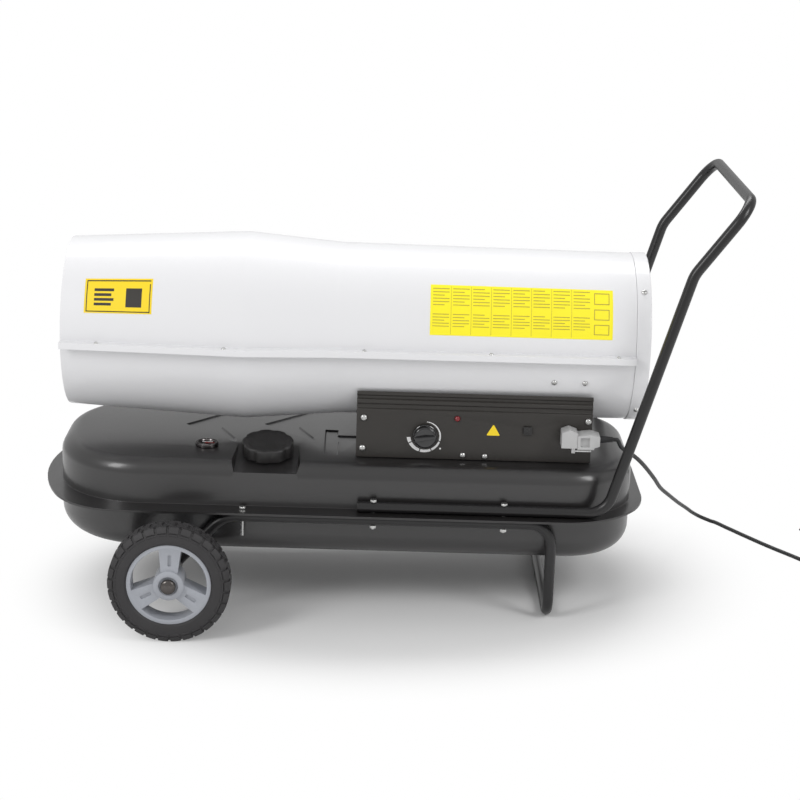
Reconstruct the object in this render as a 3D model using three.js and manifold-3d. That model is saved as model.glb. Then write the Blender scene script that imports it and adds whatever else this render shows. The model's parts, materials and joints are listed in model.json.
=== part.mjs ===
// Forced air heater: a fan-blown oil burner barrel on a pressed steel fuel tank, with a tube
// handle, a tube frame with two wheels and a foot, a control box and a mains lead.
// Units are millimetres, +Z is up, -X is the hot air outlet and -Y is the control side.
// Everything on the heater is drawn square to its tank, with z = 0 level with the wheels'
// lowest points. The foot is a little short, so the heater leans: the last lines tip it about
// its axle until the foot is down, and set the origin under the middle of its footprint.

import * as THREE from "three";
import { mergeVertices } from "three/addons/utils/BufferGeometryUtils.js";
import Module from "manifold-3d";

// ---------------------------------------------------------------- driving dimensions
const gap = 0.3; // clearance between neighbouring pieces
const holePlay = 0.4; // radial clearance of a fastener or a shaft in its hole

// fuel tank: two pressed pans that meet in a flange
const tankLength = 974;
const tankWidth = 366;
const tankFrontCorner = 150; // round corners at the outlet end
const tankRearCorner = 115; // and at the handle end
const tankTopZ = 276;
const tankBottomZ = 116;
const topFillet = 26;
const bottomFillet = 40;
const tankSheet = 1.6;
const flangeZ = 200; // where the pans meet
const flangeEndReach = 21; // from the tank's end wall to the flange's edge
const flangeSideReach = 38;
const flangeBulge = 8; // its front edge is one wide arc, this much further out in the middle
const flangeEndRadius = 346; // of that arc
const flangeFrontCorner = 130;
const flangeRearCorner = 150;
const flangeLength = tankLength + 2 * flangeEndReach;
const flangeWidth = tankWidth + 2 * flangeSideReach;
const tankEndX = tankLength / 2;

// filler bay, neck, strainer and cap
const fillerX = -130;
const fillerInset = 71; // from the tank's side wall to the middle of the filler
const fillerY = fillerInset - tankWidth / 2;
const fillerTilt = THREE.MathUtils.degToRad(9);
const bayWidth = 104;
const bayReach = 32; // from the filler's middle to the bay's back line
const bayBackY = fillerY + bayReach;
const neckRadius = 30;
const neckWall = 2;
const neckHeight = 16;
const strainerDepth = 55;
const capRadius = 43.5;
const capHeight = 21;
const capScallops = 9;

// fuel gauge with its float
const gaugeX = -234;
const gaugeInset = 90;
const gaugeY = gaugeInset - tankWidth / 2;
const gaugeRadius = 19.5;
const gaugeHeight = 6;
const floatArmLength = 80;
const floatRadius = 12;

// wheels and axle
const axleInset = 209; // from the tank's outlet end
const axleX = axleInset - tankEndX;
const wheelRadius = 100;
const tyreWidth = 42;
const rimRadius = 69;
const rimLip = 7;
const hubRadius = 25;
const hubWidth = 46;
const axleRadius = 7;
const domeRadius = 12.5;

// bent tubes
const tubeRadius = 9;
const railReach = 14; // from the tank's side wall to the middle of the tubes on its flange
const railY = tankWidth / 2 + railReach;
const wheelReach = 75; // from there to the wheel's middle plane
const wheelTrack = 2 * (railY + wheelReach);
const railStartX = 25;
const railEndInset = 53;
const railEndX = tankEndX - railEndInset;
const handleLowAngle = THREE.MathUtils.degToRad(74);
const handleKneeZ = 619;
const handleHighAngle = THREE.MathUtils.degToRad(54);
const handleTopZ = 737;
const handleFootBend = 42;
const handleKneeBend = 60;
const handleCornerBend = 42;
const legInset = 140.5;
const legX = tankEndX - legInset;
const legBend = 38;
const footBend = 30;
const footZ = 27.8; // middle of the foot's cross tube
const frameRise = 82; // from the axle to the corner where the frame turns level
const frameRiseX = axleX + frameRise;
const frameRiseBend = 60;
const boltInset = 25; // from the rail's start to its first bolt
const boltBeforeLeg = 80.5; // from the second bolt to the leg
const boltXs = [railStartX + boltInset, legX - boltBeforeLeg];
const frontBoltX = frameRiseX + 30;
const boltRadius = 3;
const boltHeadRadius = 6;

// barrel: shells, combustion chamber, burner, fan and motor
const barrelZ = 464;
const shellSheet = 1.6;
const outletX = -471;
const outletRadius = 142.5;
const bulgeX = -172;
const bulgeRadius = 159;
const throatX = -14;
const throatRadius = 145.5;
const shellEndX = 474;
const shellEndRadius = 141.5;
const ringLength = 24;
const ledgeWidth = 17;
const lipDrop = 9;
const chamberFrontX = -460;
const chamberRearX = -70;
const chamberRadius = 116;
const chamberMouth = 102;
const chamberSheet = 1.5;
const baffleX = -430;
const baffleRadius = 68;
const burnerRadius = 45;
const fanX = 205;
const fanRadius = 124;
const fanHubRadius = 24;
const fanHubLength = 34;
const bladeCount = 5;
const shaftRadius = 6;
const motorX = 262;
const motorLength = 118;
const motorRadius = 60;
const pumpRadius = 44;
const pumpLength = 30;
const filterCoverLength = 22;
const guardWire = 1.7;
const guardRings = 4;
const guardFirst = 32; // radius of its smallest ring
const guardBars = 6;

// control box under the barrel
const boxStartX = 18;
const boxEndX = 410;
const panelY = 135; // outer face of the side panels, on both sides
const panelSheet = 1.6;
const panelFaceTopZ = 361;
const panelTopZ = 391;
const knobX = 132.5;
const knobZ = 317;
const knobRadius = 20.5;
const knobDepth = 17;
const lampX = 185.5;
const lampZ = 348.5;
const lampRadius = 4.8;
const sensorX = 303;
const sensorZ = 331;
const boardLength = 180;
const boardHeight = 71;
const boardSheet = 1.6;
const boardSetback = 17; // behind the panel's face
const potentiometerRadius = 9;
const relaySize = 24;
const knobShaftDepth = 12; // behind the panel's face
const transformerLength = 80;
const transformerWidth = 80;
const transformerHeight = 32;
const inletX = 358;
const inletZ = 327.5;
const inletWidth = 26;
const inletHeight = 31;
const inletDepth = 30;
const connectorLength = 37;
const connectorHeight = 26;
const connectorLow = 310.5; // underside
const connectorDepth = 32;
const reliefLength = 22;

// mains lead
const cordRadius = 3.5;
const coilRadius = 39; // middle of the turns of the lead's coil
const coilTurnsPerLayer = 2;
const coilPitch = 7.6; // between the middles of neighbouring turns, sideways
const coilClimb = 7.6; // between the middles of the two layers

// ---------------------------------------------------------------- materials
const paint = (color, roughness, metalness) =>
  new THREE.MeshStandardMaterial({ color, roughness, metalness });
const blackPaint = { color: 0x2b2a2b, roughness: 0.35, metalness: 0.2 };
const whitePaint = { color: 0xe9e9ea, roughness: 0.3, metalness: 0.1 };
const bareSteel = { color: 0xa9abad, roughness: 0.35, metalness: 0.9 };
const heatSteel = { color: 0x8d8a86, roughness: 0.5, metalness: 0.8 };
const blackRubber = { color: 0x262628, roughness: 0.85, metalness: 0 };
const greyPlastic = { color: 0xa4a8b0, roughness: 0.45, metalness: 0 };
const paleGrey = { color: 0xb9b9ba, roughness: 0.5, metalness: 0 };
const blackPlastic = { color: 0x1b1b1d, roughness: 0.5, metalness: 0 };
const redLens = { color: 0xb01822, roughness: 0.2, metalness: 0 };
const brass = { color: 0xb59a55, roughness: 0.35, metalness: 0.9 };
const ceramic = { color: 0xe6e0d4, roughness: 0.4, metalness: 0 };
const boardGreen = { color: 0x2f6b3f, roughness: 0.6, metalness: 0 };

// ---------------------------------------------------------------- solids
const wasm = await Module();
wasm.setup();

// The volume inside a closed mesh, below zero where its faces point inwards.
function signedVolume(place, faces) {
  const corner = (i) => new THREE.Vector3().fromArray(place, 3 * faces[i]);
  let sum = 0;
  for (let i = 0; i < faces.length; i += 3) {
    sum += corner(i).dot(corner(i + 1).cross(corner(i + 2))) / 6;
  }
  return sum;
}

// A closed geometry as a solid that can be joined and cut, its faces turned outwards.
function solid(geometry) {
  const bare = geometry.clone();
  bare.deleteAttribute("normal");
  bare.deleteAttribute("uv");
  const merged = mergeVertices(bare, 1e-3);
  const place = merged.attributes.position.array;
  const faces = merged.index.array;
  const whole = [];
  for (let i = 0; i < faces.length; i += 3) {
    const [a, b, c] = faces.subarray(i, i + 3);
    if (a !== b && b !== c && c !== a) {
      whole.push(a, b, c);
    }
  }
  if (signedVolume(place, whole) < 0) {
    whole.reverse();
  }
  const vertProperties = Float32Array.from(place);
  const triVerts = Uint32Array.from(whole);
  return new wasm.Manifold(new wasm.Mesh({ numProp: 3, vertProperties, triVerts }));
}

function geometryOf(body) {
  const mesh = body.getMesh();
  const geometry = new THREE.BufferGeometry();
  geometry.setAttribute("position", new THREE.BufferAttribute(mesh.vertProperties, 3));
  geometry.setIndex(new THREE.BufferAttribute(mesh.triVerts, 1));
  geometry.computeVertexNormals();
  return geometry;
}

const join = (first, ...rest) => rest.reduce((whole, part) => whole.add(part), first);
const cut = (first, ...rest) => rest.reduce((whole, part) => whole.subtract(part), first);

// A box between two corners.
function block(x0, x1, y0, y1, z0, z1) {
  const geometry = new THREE.BoxGeometry(x1 - x0, y1 - y0, z1 - z0);
  geometry.translate((x0 + x1) / 2, (y0 + y1) / 2, (z0 + z1) / 2);
  return solid(geometry);
}

const turnTo = {
  x: (geometry) => geometry.rotateZ(-Math.PI / 2),
  y: (geometry) => geometry,
  z: (geometry) => geometry.rotateX(Math.PI / 2),
};

// A round solid turned about an axis through (x, y, z). The profile holds [radius, along] pairs.
function turned(profile, axis, x, y, z, segments = 24) {
  const points = profile.map(([radius, along]) => new THREE.Vector2(radius, along));
  const geometry = turnTo[axis](new THREE.LatheGeometry(points, segments));
  geometry.translate(x, y, z);
  return solid(geometry);
}

// A plain cylinder from one end to the other along an axis.
function rod(radius, from, to, axis, x, y, z, segments = 16) {
  const profile = [[0, from], [radius, from], [radius, to], [0, to]];
  return turned(profile, axis, x, y, z, segments);
}

// A ring with a bore.
function sleeve(outer, inner, from, to, axis, x, y, z, segments = 24) {
  const profile = [[inner, from], [outer, from], [outer, to], [inner, to], [inner, from]];
  return turned(profile, axis, x, y, z, segments);
}

// A rectangle with round corners, of one radius at its front end and another at its rear.
function roundedRectangle(halfX, halfY, frontRadius, rearRadius) {
  const shape = new THREE.Shape();
  const rearX = halfX - rearRadius;
  const rearY = halfY - rearRadius;
  const frontX = frontRadius - halfX;
  const frontY = halfY - frontRadius;
  const quarter = Math.PI / 2;
  shape.moveTo(halfX, -rearY);
  shape.lineTo(halfX, rearY);
  shape.absarc(rearX, rearY, rearRadius, 0, quarter);
  shape.lineTo(frontX, halfY);
  shape.absarc(frontX, frontY, frontRadius, quarter, 2 * quarter);
  shape.lineTo(-halfX, -frontY);
  shape.absarc(frontX, -frontY, frontRadius, 2 * quarter, 3 * quarter);
  shape.lineTo(rearX, -halfY);
  shape.absarc(rearX, -rearY, rearRadius, 3 * quarter, 4 * quarter);
  return shape;
}

// The tank's outline seen from above, drawn in by an inset.
const tankOutline = (inset) => roundedRectangle(
  tankLength / 2 - inset, tankWidth / 2 - inset, tankFrontCorner - inset, tankRearCorner - inset,
);

function polygon(points) {
  return new THREE.Shape(points.map(([a, b]) => new THREE.Vector2(a, b)));
}

// A flat shape drawn in x and y, standing from z0 to z1.
function plate(shape, z0, z1, curveSegments = 8) {
  const options = { depth: z1 - z0, bevelEnabled: false, curveSegments };
  const geometry = new THREE.ExtrudeGeometry(shape, options);
  geometry.translate(0, 0, z0);
  return solid(geometry);
}

// A flat shape drawn in y and z, standing from x0 to x1.
const yzToX = new THREE.Matrix4().set(0, 0, 1, 0, 1, 0, 0, 0, 0, 1, 0, 0, 0, 0, 0, 1);
function wall(shape, x0, x1, curveSegments = 12) {
  const options = { depth: x1 - x0, bevelEnabled: false, curveSegments };
  const geometry = new THREE.ExtrudeGeometry(shape, options);
  geometry.applyMatrix4(yzToX);
  geometry.translate(x0, 0, 0);
  return solid(geometry);
}

// A flat shape drawn in x and z, standing from y0 to y1.
function facing(shape, y0, y1, curveSegments = 8) {
  const options = { depth: y1 - y0, bevelEnabled: false, curveSegments };
  const geometry = new THREE.ExtrudeGeometry(shape, options);
  geometry.rotateX(Math.PI / 2);
  geometry.translate(0, y1, 0);
  return solid(geometry);
}

// A strip of sheet metal: an open line of [a, b] points, thickened to its left.
function sheetLine(points, thickness) {
  const line = points.map(([a, b]) => new THREE.Vector2(a, b));
  const inner = line.map((point, i) => {
    const before = line[Math.max(i - 1, 0)];
    const after = line[Math.min(i + 1, line.length - 1)];
    const ahead = after.clone().sub(before).normalize();
    return new THREE.Vector2(point.x - ahead.y * thickness, point.y + ahead.x * thickness);
  });
  return new THREE.Shape([...line, ...inner.reverse()]);
}

// A sector of a flat ring, drawn about the origin from one angle to another.
function ringSector(inner, outer, from, to) {
  const shape = new THREE.Shape();
  shape.absarc(0, 0, outer, from, to);
  shape.absarc(0, 0, inner, to, from, true);
  return shape;
}

// A route of stations, each a place and a direction, that a tube can be extruded along.
class Route extends THREE.Curve {
  constructor(stations) {
    super();
    this.stations = stations;
  }

  station(t) {
    return this.stations[Math.round(t * (this.stations.length - 1))];
  }

  getPoint(t) {
    return this.station(t).at.clone();
  }

  getPointAt(t) {
    return this.getPoint(t);
  }

  getTangent(t) {
    return this.station(t).ahead.clone();
  }

  getTangentAt(t) {
    return this.getTangent(t);
  }
}

// The stations of straight runs with round bends. Each corner is [x, y, z, bend radius].
function bentRoute(corners, bendStep = THREE.MathUtils.degToRad(19)) {
  const points = corners.map(([x, y, z]) => new THREE.Vector3(x, y, z));
  const last = points.length - 1;
  const stations = [{ at: points[0], ahead: points[1].clone().sub(points[0]).normalize() }];
  for (let i = 1; i < last; i += 1) {
    const radius = corners[i][3];
    const into = points[i].clone().sub(points[i - 1]).normalize();
    const out = points[i + 1].clone().sub(points[i]).normalize();
    const turn = into.angleTo(out);
    const axis = into.clone().cross(out).normalize();
    const start = points[i].clone().addScaledVector(into, -radius * Math.tan(turn / 2));
    const toCentre = axis.clone().cross(into);
    const centre = start.clone().addScaledVector(toCentre, radius);
    const steps = Math.max(2, Math.ceil(turn / bendStep));
    for (let k = 0; k <= steps; k += 1) {
      const angle = (turn * k) / steps;
      const at = start.clone().sub(centre).applyAxisAngle(axis, angle).add(centre);
      stations.push({ at, ahead: into.clone().applyAxisAngle(axis, angle) });
    }
  }
  stations.push({ at: points[last], ahead: stations[stations.length - 1].ahead.clone() });
  return new Route(stations);
}

// A round tube's outer form along a curve.
function tubeAlong(curve, radius, sides, steps) {
  const section = new THREE.Shape();
  const corners = Array.from({ length: sides }, (_, k) => (2 * Math.PI * (k + 0.5)) / sides);
  section.setFromPoints(
    corners.map((angle) => new THREE.Vector2(radius * Math.cos(angle), radius * Math.sin(angle))),
  );
  return new THREE.ExtrudeGeometry(section, { steps, extrudePath: curve, bevelEnabled: false });
}

const bentTube = (corners, radius, sides) => {
  const route = bentRoute(corners);
  return solid(tubeAlong(route, radius, sides, route.stations.length - 1));
};

// ---------------------------------------------------------------- the heater's tree
const heater = new THREE.Group(); // everything that leans with the tank
const wheels = new THREE.Group(); // turns about the axle, so the lean leaves it level
const lead = new THREE.Group(); // what lies on the floor
const nodes = {};

function piece(name, body, look, parent = heater) {
  const geometry = body.isBufferGeometry ? body : geometryOf(body);
  const mesh = new THREE.Mesh(geometry, paint(look.color, look.roughness, look.metalness));
  mesh.name = name;
  parent.add(mesh);
  nodes[name] = mesh;
  return mesh;
}

// ---------------------------------------------------------------- tank
const flangeTopZ = flangeZ + gap / 2 + tankSheet;
const flangeBottomZ = flangeZ - gap / 2 - tankSheet;
const railZ = flangeTopZ + gap + tubeRadius;
const frameZ = flangeBottomZ - gap - tubeRadius;
const boltSpots = [...boltXs, frontBoltX].flatMap((x) => [[x, -railY], [x, railY]]);
const boltHole = ([x, y], low, high) => rod(boltRadius + holePlay, low, high, "z", x, y, 0, 8);

function panSolid(low, high, fillet, inset) {
  const round = fillet - inset;
  const shape = tankOutline(inset);
  const options = { depth: high - low - 2 * round, bevelEnabled: true, bevelThickness: round };
  Object.assign(options, { bevelSize: round, bevelOffset: -round, bevelSegments: 2, curveSegments: 5 });
  const geometry = new THREE.ExtrudeGeometry(shape, options);
  geometry.translate(0, 0, low + round);
  return solid(geometry);
}

// The flange's outline: a wide arc between round corners in front, a straight edge behind.
function flangeOutline() {
  const halfX = flangeLength / 2;
  const halfY = flangeWidth / 2;
  const quarter = Math.PI / 2;
  const endX = flangeEndRadius - halfX - flangeBulge;
  const frontY = halfY - flangeFrontCorner;
  const reach = flangeEndRadius - flangeFrontCorner;
  const frontX = endX - Math.sqrt(reach ** 2 - frontY ** 2);
  const turn = Math.asin(frontY / reach); // from the front's middle to where a corner begins
  const rearX = halfX - flangeRearCorner;
  const rearY = halfY - flangeRearCorner;
  const shape = new THREE.Shape();
  shape.moveTo(halfX, -rearY);
  shape.lineTo(halfX, rearY);
  shape.absarc(rearX, rearY, flangeRearCorner, 0, quarter);
  shape.lineTo(frontX, halfY);
  shape.absarc(frontX, frontY, flangeFrontCorner, quarter, 2 * quarter - turn);
  shape.absarc(endX, 0, flangeEndRadius, 2 * quarter - turn, 2 * quarter + turn);
  shape.absarc(frontX, -frontY, flangeFrontCorner, 2 * quarter + turn, 3 * quarter);
  shape.lineTo(rearX, -halfY);
  shape.absarc(rearX, -rearY, flangeRearCorner, 3 * quarter, 4 * quarter);
  return shape;
}

function flangePlate(low, high) {
  const outline = flangeOutline();
  outline.holes.push(tankOutline(tankSheet));
  return plate(outline, low, high, 5);
}

// The filler stands on a flat bay that slopes to the front, cut through the tank's round edge.
const seatZ = tankTopZ - (bayBackY - fillerY) * Math.tan(fillerTilt);
const fillerFrame = new THREE.Matrix4()
  .makeTranslation(fillerX, fillerY, seatZ)
  .multiply(new THREE.Matrix4().makeRotationX(fillerTilt));
const bayDepth = 34;
const bayFlare = 20;

function inFillerFrame(geometry) {
  geometry.applyMatrix4(fillerFrame);
  return solid(geometry);
}

// A prism along the bay's slope with flared sides, from one height above its floor to another.
function bayPrism(front, back, low, high, wideAtLow, wideAtHigh) {
  const shape = polygon([
    [-wideAtLow / 2, low], [wideAtLow / 2, low], [wideAtHigh / 2, high], [-wideAtHigh / 2, high],
  ]);
  const options = { depth: back - front, bevelEnabled: false };
  const geometry = new THREE.ExtrudeGeometry(shape, options);
  geometry.rotateX(Math.PI / 2);
  geometry.translate(0, back, 0);
  return inFillerFrame(geometry);
}

function tankTopSolid(inset) {
  const low = flangeZ - 2 * topFillet;
  const pan = panSolid(low, tankTopZ - inset, topFillet, inset);
  const front = -(tankWidth / 2 + fillerY) - 2 * bayDepth;
  const back = (bayBackY - fillerY) / Math.cos(fillerTilt);
  const floorWidth = bayWidth - 2 * inset;
  const floor = bayPrism(front, back, -bayDepth, -inset, floorWidth + bayFlare, floorWidth);
  const clearWidth = bayWidth + 2 * inset;
  const clear = bayPrism(front, back + inset, -inset, topFillet, clearWidth, clearWidth + bayFlare);
  const wall = block(
    -tankLength / 2, tankLength / 2, -tankWidth / 2 + inset, tankWidth / 2, flangeZ, tankTopZ,
  );
  return cut(join(pan, floor.intersect(wall)), clear);
}

const gaugeStemRadius = 9;
const lineX = 100;
const lineY = 60;
const lineRadius = 2.5;
const ribWidth = 5;
const ribHeight = 2.2;

// A pressed rib on the tank's top along straight runs between points.
function pressedRib(points) {
  const line = points.map(([x, y]) => new THREE.Vector2(x, y));
  const runs = line.slice(1).map((end, i) => {
    const start = line[i];
    const length = start.distanceTo(end) + ribWidth;
    const geometry = new THREE.BoxGeometry(length, ribWidth, ribHeight + tankSheet / 2);
    geometry.rotateZ(end.clone().sub(start).angle());
    const low = tankTopZ - tankSheet / 2;
    const middle = (low + tankTopZ + ribHeight) / 2;
    geometry.translate((start.x + end.x) / 2, (start.y + end.y) / 2, middle);
    return solid(geometry);
  });
  return join(...runs);
}

function makeTankTop() {
  const above = block(
    -flangeLength, flangeLength, -flangeWidth, flangeWidth, flangeZ + gap / 2, 2 * tankTopZ,
  );
  const shell = cut(tankTopSolid(0), tankTopSolid(tankSheet)).intersect(above);
  const ribs = [
    pressedRib([[-293, 88], [-232, 152]]),
    pressedRib([[-293, 88], [-212, -36]]),
    pressedRib([[-160, 104], [-95, 160]]),
    pressedRib([[-160, 104], [-70, -30]]),
    pressedRib([[-36, -135], [-10, -130], [-13, -36], [12, -33], [10, 58]]),
  ];
  const holes = [
    inFillerFrame(turnTo.z(new THREE.CylinderGeometry(neckRadius + holePlay, neckRadius + holePlay, 20, 24))),
    rod(gaugeStemRadius + holePlay, tankTopZ - 20, tankTopZ + 20, "z", gaugeX, gaugeY, 0),
    rod(lineRadius + holePlay, tankTopZ - 20, tankTopZ + 20, "z", lineX, lineY, 0, 8),
    ...boltSpots.map((spot) => boltHole(spot, flangeZ - 5, flangeZ + 5)),
  ];
  return cut(join(shell, flangePlate(flangeZ + gap / 2, flangeTopZ), ...ribs), ...holes);
}

function makeTankBottom() {
  const drainHole = rod(drainRadius + holePlay, tankBottomZ - 5, tankBottomZ + 5, "z", drainX, 0, 0, 12);
  const high = flangeZ + 2 * bottomFillet;
  const below = block(
    -flangeLength, flangeLength, -flangeWidth, flangeWidth, 0, flangeZ - gap / 2,
  );
  const outer = panSolid(tankBottomZ, high, bottomFillet, 0);
  const inner = panSolid(tankBottomZ + tankSheet, high, bottomFillet, tankSheet);
  const shell = cut(outer, inner).intersect(below);
  const holes = boltSpots.map((spot) => boltHole(spot, flangeZ - 5, flangeZ + 5));
  return cut(join(shell, flangePlate(flangeBottomZ, flangeZ - gap / 2)), drainHole, ...holes);
}

const drainX = 300;
const drainRadius = 6;
const drainHead = 11;

piece("tank_top", makeTankTop(), blackPaint);
piece("tank_bottom", makeTankBottom(), blackPaint);
piece("drain_plug", join(
  rod(drainHead, tankBottomZ - gap - 7, tankBottomZ - gap, "z", drainX, 0, 0, 6),
  rod(drainRadius, tankBottomZ - gap - 1, tankBottomZ + 8, "z", drainX, 0, 0, 12),
), bareSteel);

// ---------------------------------------------------------------- filler
const filler = new THREE.Group();
fillerFrame.decompose(filler.position, filler.quaternion, filler.scale);
heater.add(filler);

const neckFlange = 36;
const neckInner = neckRadius - neckWall;
piece("filler_neck", turned([
  [neckInner, -8], [neckRadius, -8], [neckRadius, gap], [neckFlange, gap], [neckFlange, gap + neckWall],
  [neckRadius, gap + neckWall], [neckRadius, neckHeight], [neckInner, neckHeight], [neckInner, -8],
], "z", 0, 0, 0, 20), blackPaint, filler);

const strainerRadius = neckInner - 1;
const strainerLip = neckHeight + gap + 1;
piece("filler_strainer", turned([
  [0, -strainerDepth], [strainerRadius, -strainerDepth], [strainerRadius, strainerLip - 1],
  [neckRadius, strainerLip - 1], [neckRadius, strainerLip],
  [strainerRadius - 1, strainerLip], [strainerRadius - 1, 1 - strainerDepth], [0, 1 - strainerDepth],
], "z", 0, 0, 0, 20), bareSteel, filler);

// The cap's rim swells into lobes with a notch between neighbours.
const capNotch = 2.4;
const capCrown = 3;
function capOutline(radius) {
  const steps = capScallops * 5;
  return polygon(Array.from({ length: steps }, (_, k) => {
    const angle = (2 * Math.PI * k) / steps;
    const r = radius - capNotch * Math.cos((capScallops * angle) / 2) ** 6;
    return [r * Math.cos(angle), r * Math.sin(angle)];
  }));
}
const capBottom = gap + neckWall + gap;
const capTop = capBottom + capHeight;
const capOptions = { depth: capHeight - capCrown, bevelEnabled: true, bevelThickness: capCrown / 2 };
Object.assign(capOptions, { bevelSize: 2, bevelOffset: -2, bevelSegments: 1 });
const capBlank = new THREE.ExtrudeGeometry(capOutline(capRadius), capOptions);
capBlank.translate(0, 0, capBottom + capCrown / 2);
const capBore = rod(neckRadius + 1, capBottom - 1, strainerLip + gap, "z", 0, 0, 0, 24);
piece("fuel_cap", cut(solid(capBlank), capBore), blackPlastic, filler);

// ---------------------------------------------------------------- fuel gauge
const gaugeSeat = tankTopZ + gap;
const gaugeTop = gaugeSeat + gaugeHeight;
const floatPivotZ = 196;
const floatPinRadius = 1.5;
const floatHub = 4.5;
piece("fuel_gauge", join(
  turned([
    [0, tankTopZ - 14], [gaugeStemRadius, tankTopZ - 14], [gaugeStemRadius, gaugeSeat],
    [gaugeRadius, gaugeSeat], [gaugeRadius, gaugeTop - 1], [gaugeRadius - 1.5, gaugeTop],
    [gaugeRadius - 3.5, gaugeTop], [gaugeRadius - 3.5, gaugeTop - 3], [0, gaugeTop - 3],
  ], "z", gaugeX, gaugeY, 0),
  block(gaugeX - 4, gaugeX + 4, gaugeY + 4, gaugeY + 6, floatPivotZ - 5, tankTopZ - 13),
  rod(floatPinRadius, gaugeY - 4, gaugeY + 5, "y", gaugeX, 0, floatPivotZ, 8),
), bareSteel);
piece("float_arm", join(
  sleeve(floatHub, floatPinRadius + gap, gaugeY - 3, gaugeY + 3, "y", gaugeX, 0, floatPivotZ, 12),
  block(gaugeX - floatArmLength, gaugeX + 1 - floatHub, gaugeY - 1, gaugeY + 1, floatPivotZ - 1, floatPivotZ + 1),
  rod(floatRadius, gaugeY - 14, gaugeY + 14, "y", gaugeX - floatArmLength, 0, floatPivotZ, 14),
), brass);
piece("gauge_needle", join(
  block(gaugeX - 4, gaugeX + 12, gaugeY - 0.9, gaugeY + 0.9, gaugeTop - 2.4, gaugeTop - 1.4),
  rod(2.5, gaugeTop - 2.6, gaugeTop - 1.2, "z", gaugeX, gaugeY, 0, 10),
), redLens);

// ---------------------------------------------------------------- handle and frame
function mirroredRoute(half) {
  return [...half, ...half.map(([x, y, z, bend]) => [x, -y, z, bend]).reverse()];
}

const kneeX = railEndX + (handleKneeZ - railZ) / Math.tan(handleLowAngle);
const gripX = kneeX + (handleTopZ - handleKneeZ) / Math.tan(handleHighAngle);
const handleTube = bentTube(mirroredRoute([
  [railStartX, -railY, railZ],
  [railEndX, -railY, railZ, handleFootBend],
  [kneeX, -railY, handleKneeZ, handleKneeBend],
  [gripX, -railY, handleTopZ, handleCornerBend],
]), tubeRadius, 10);
const railSpots = boltSpots.filter(([x]) => x !== frontBoltX);
piece("handle", cut(
  handleTube, ...railSpots.map((spot) => boltHole(spot, railZ - 20, railZ + 20)),
), blackPaint);

const bushRadius = 13;
const hubInside = (wheelTrack - hubWidth) / 2;
const bushEnd = hubInside - gap;
const frameTube = bentTube(mirroredRoute([
  [axleX, -railY, wheelRadius],
  [frameRiseX, -railY, frameZ, frameRiseBend],
  [legX, -railY, frameZ, legBend],
  [legX, -railY, footZ, footBend],
]), tubeRadius, 10);
const bushes = [-1, 1].map((side) => {
  const ends = [side * (railY - tubeRadius), side * bushEnd].sort((a, b) => a - b);
  return rod(bushRadius, ends[0], ends[1], "y", axleX, 0, wheelRadius, 14);
});
const axleTunnel = rod(axleRadius + holePlay, -wheelTrack, wheelTrack, "y", axleX, 0, wheelRadius);
piece("support_frame", cut(
  join(frameTube, ...bushes), axleTunnel, ...boltSpots.map((spot) => boltHole(spot, frameZ - 20, frameZ + 20)),
), blackPaint);

const headHeight = 4;
const nutHeight = 5;
function makeBolt([x, y], seat, end) {
  return join(
    rod(boltHeadRadius, seat, seat + headHeight, "z", x, y, 0, 6),
    rod(boltRadius, end, seat + 1, "z", x, y, 0, 8),
  );
}
const sideName = (y) => (y < 0 ? "near" : "far");
railSpots.forEach((spot) => {
  const [x, y] = spot;
  const label = `${sideName(y)}_${boltXs.indexOf(x) + 1}`;
  const nutTop = frameZ - tubeRadius - gap;
  piece(`rail_bolt_${label}`, makeBolt(spot, railZ + tubeRadius + gap, nutTop - nutHeight - 2), bareSteel);
  piece(`rail_nut_${label}`, cut(
    rod(boltHeadRadius, nutTop - nutHeight, nutTop, "z", x, y, 0, 6),
    boltHole(spot, nutTop - 2 * nutHeight, nutTop + 1),
  ), bareSteel);
});
boltSpots.filter(([x]) => x === frontBoltX).forEach((spot) => {
  const end = frameZ - tubeRadius - 25;
  piece(`front_bolt_${sideName(spot[1])}`, makeBolt(spot, flangeTopZ + gap, end), bareSteel);
});

// ---------------------------------------------------------------- wheels and axle
const axleEnd = wheelTrack / 2 + hubWidth / 2 + 5;
piece("axle", rod(axleRadius, -axleEnd, axleEnd, "y", axleX, 0, wheelRadius), bareSteel);

// A tyre of flat facets stands on one of them, so its corners lie a little outside the radius.
const tyreFacets = 26;
const tyreRound = 8;
function makeTyre(y) {
  const half = tyreWidth / 2;
  const bead = rimRadius + gap;
  const profile = [
    [bead, -half + 4], [bead + 6, -half], [wheelRadius - tyreRound, -half],
    [wheelRadius - 2, -half + tyreRound - 2], [wheelRadius, -half + tyreRound + 4],
    [wheelRadius, half - tyreRound - 4], [wheelRadius - 2, half - tyreRound + 2],
    [wheelRadius - tyreRound, half], [bead + 6, half], [bead, half - 4], [bead, -half + 4],
  ];
  const spread = 1 / Math.cos(Math.PI / tyreFacets);
  const points = profile.map(([radius, along]) => new THREE.Vector2(radius * spread, along));
  const geometry = new THREE.LatheGeometry(points, tyreFacets, Math.PI / tyreFacets);
  geometry.translate(axleX, y, wheelRadius);
  return solid(geometry);
}

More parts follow.
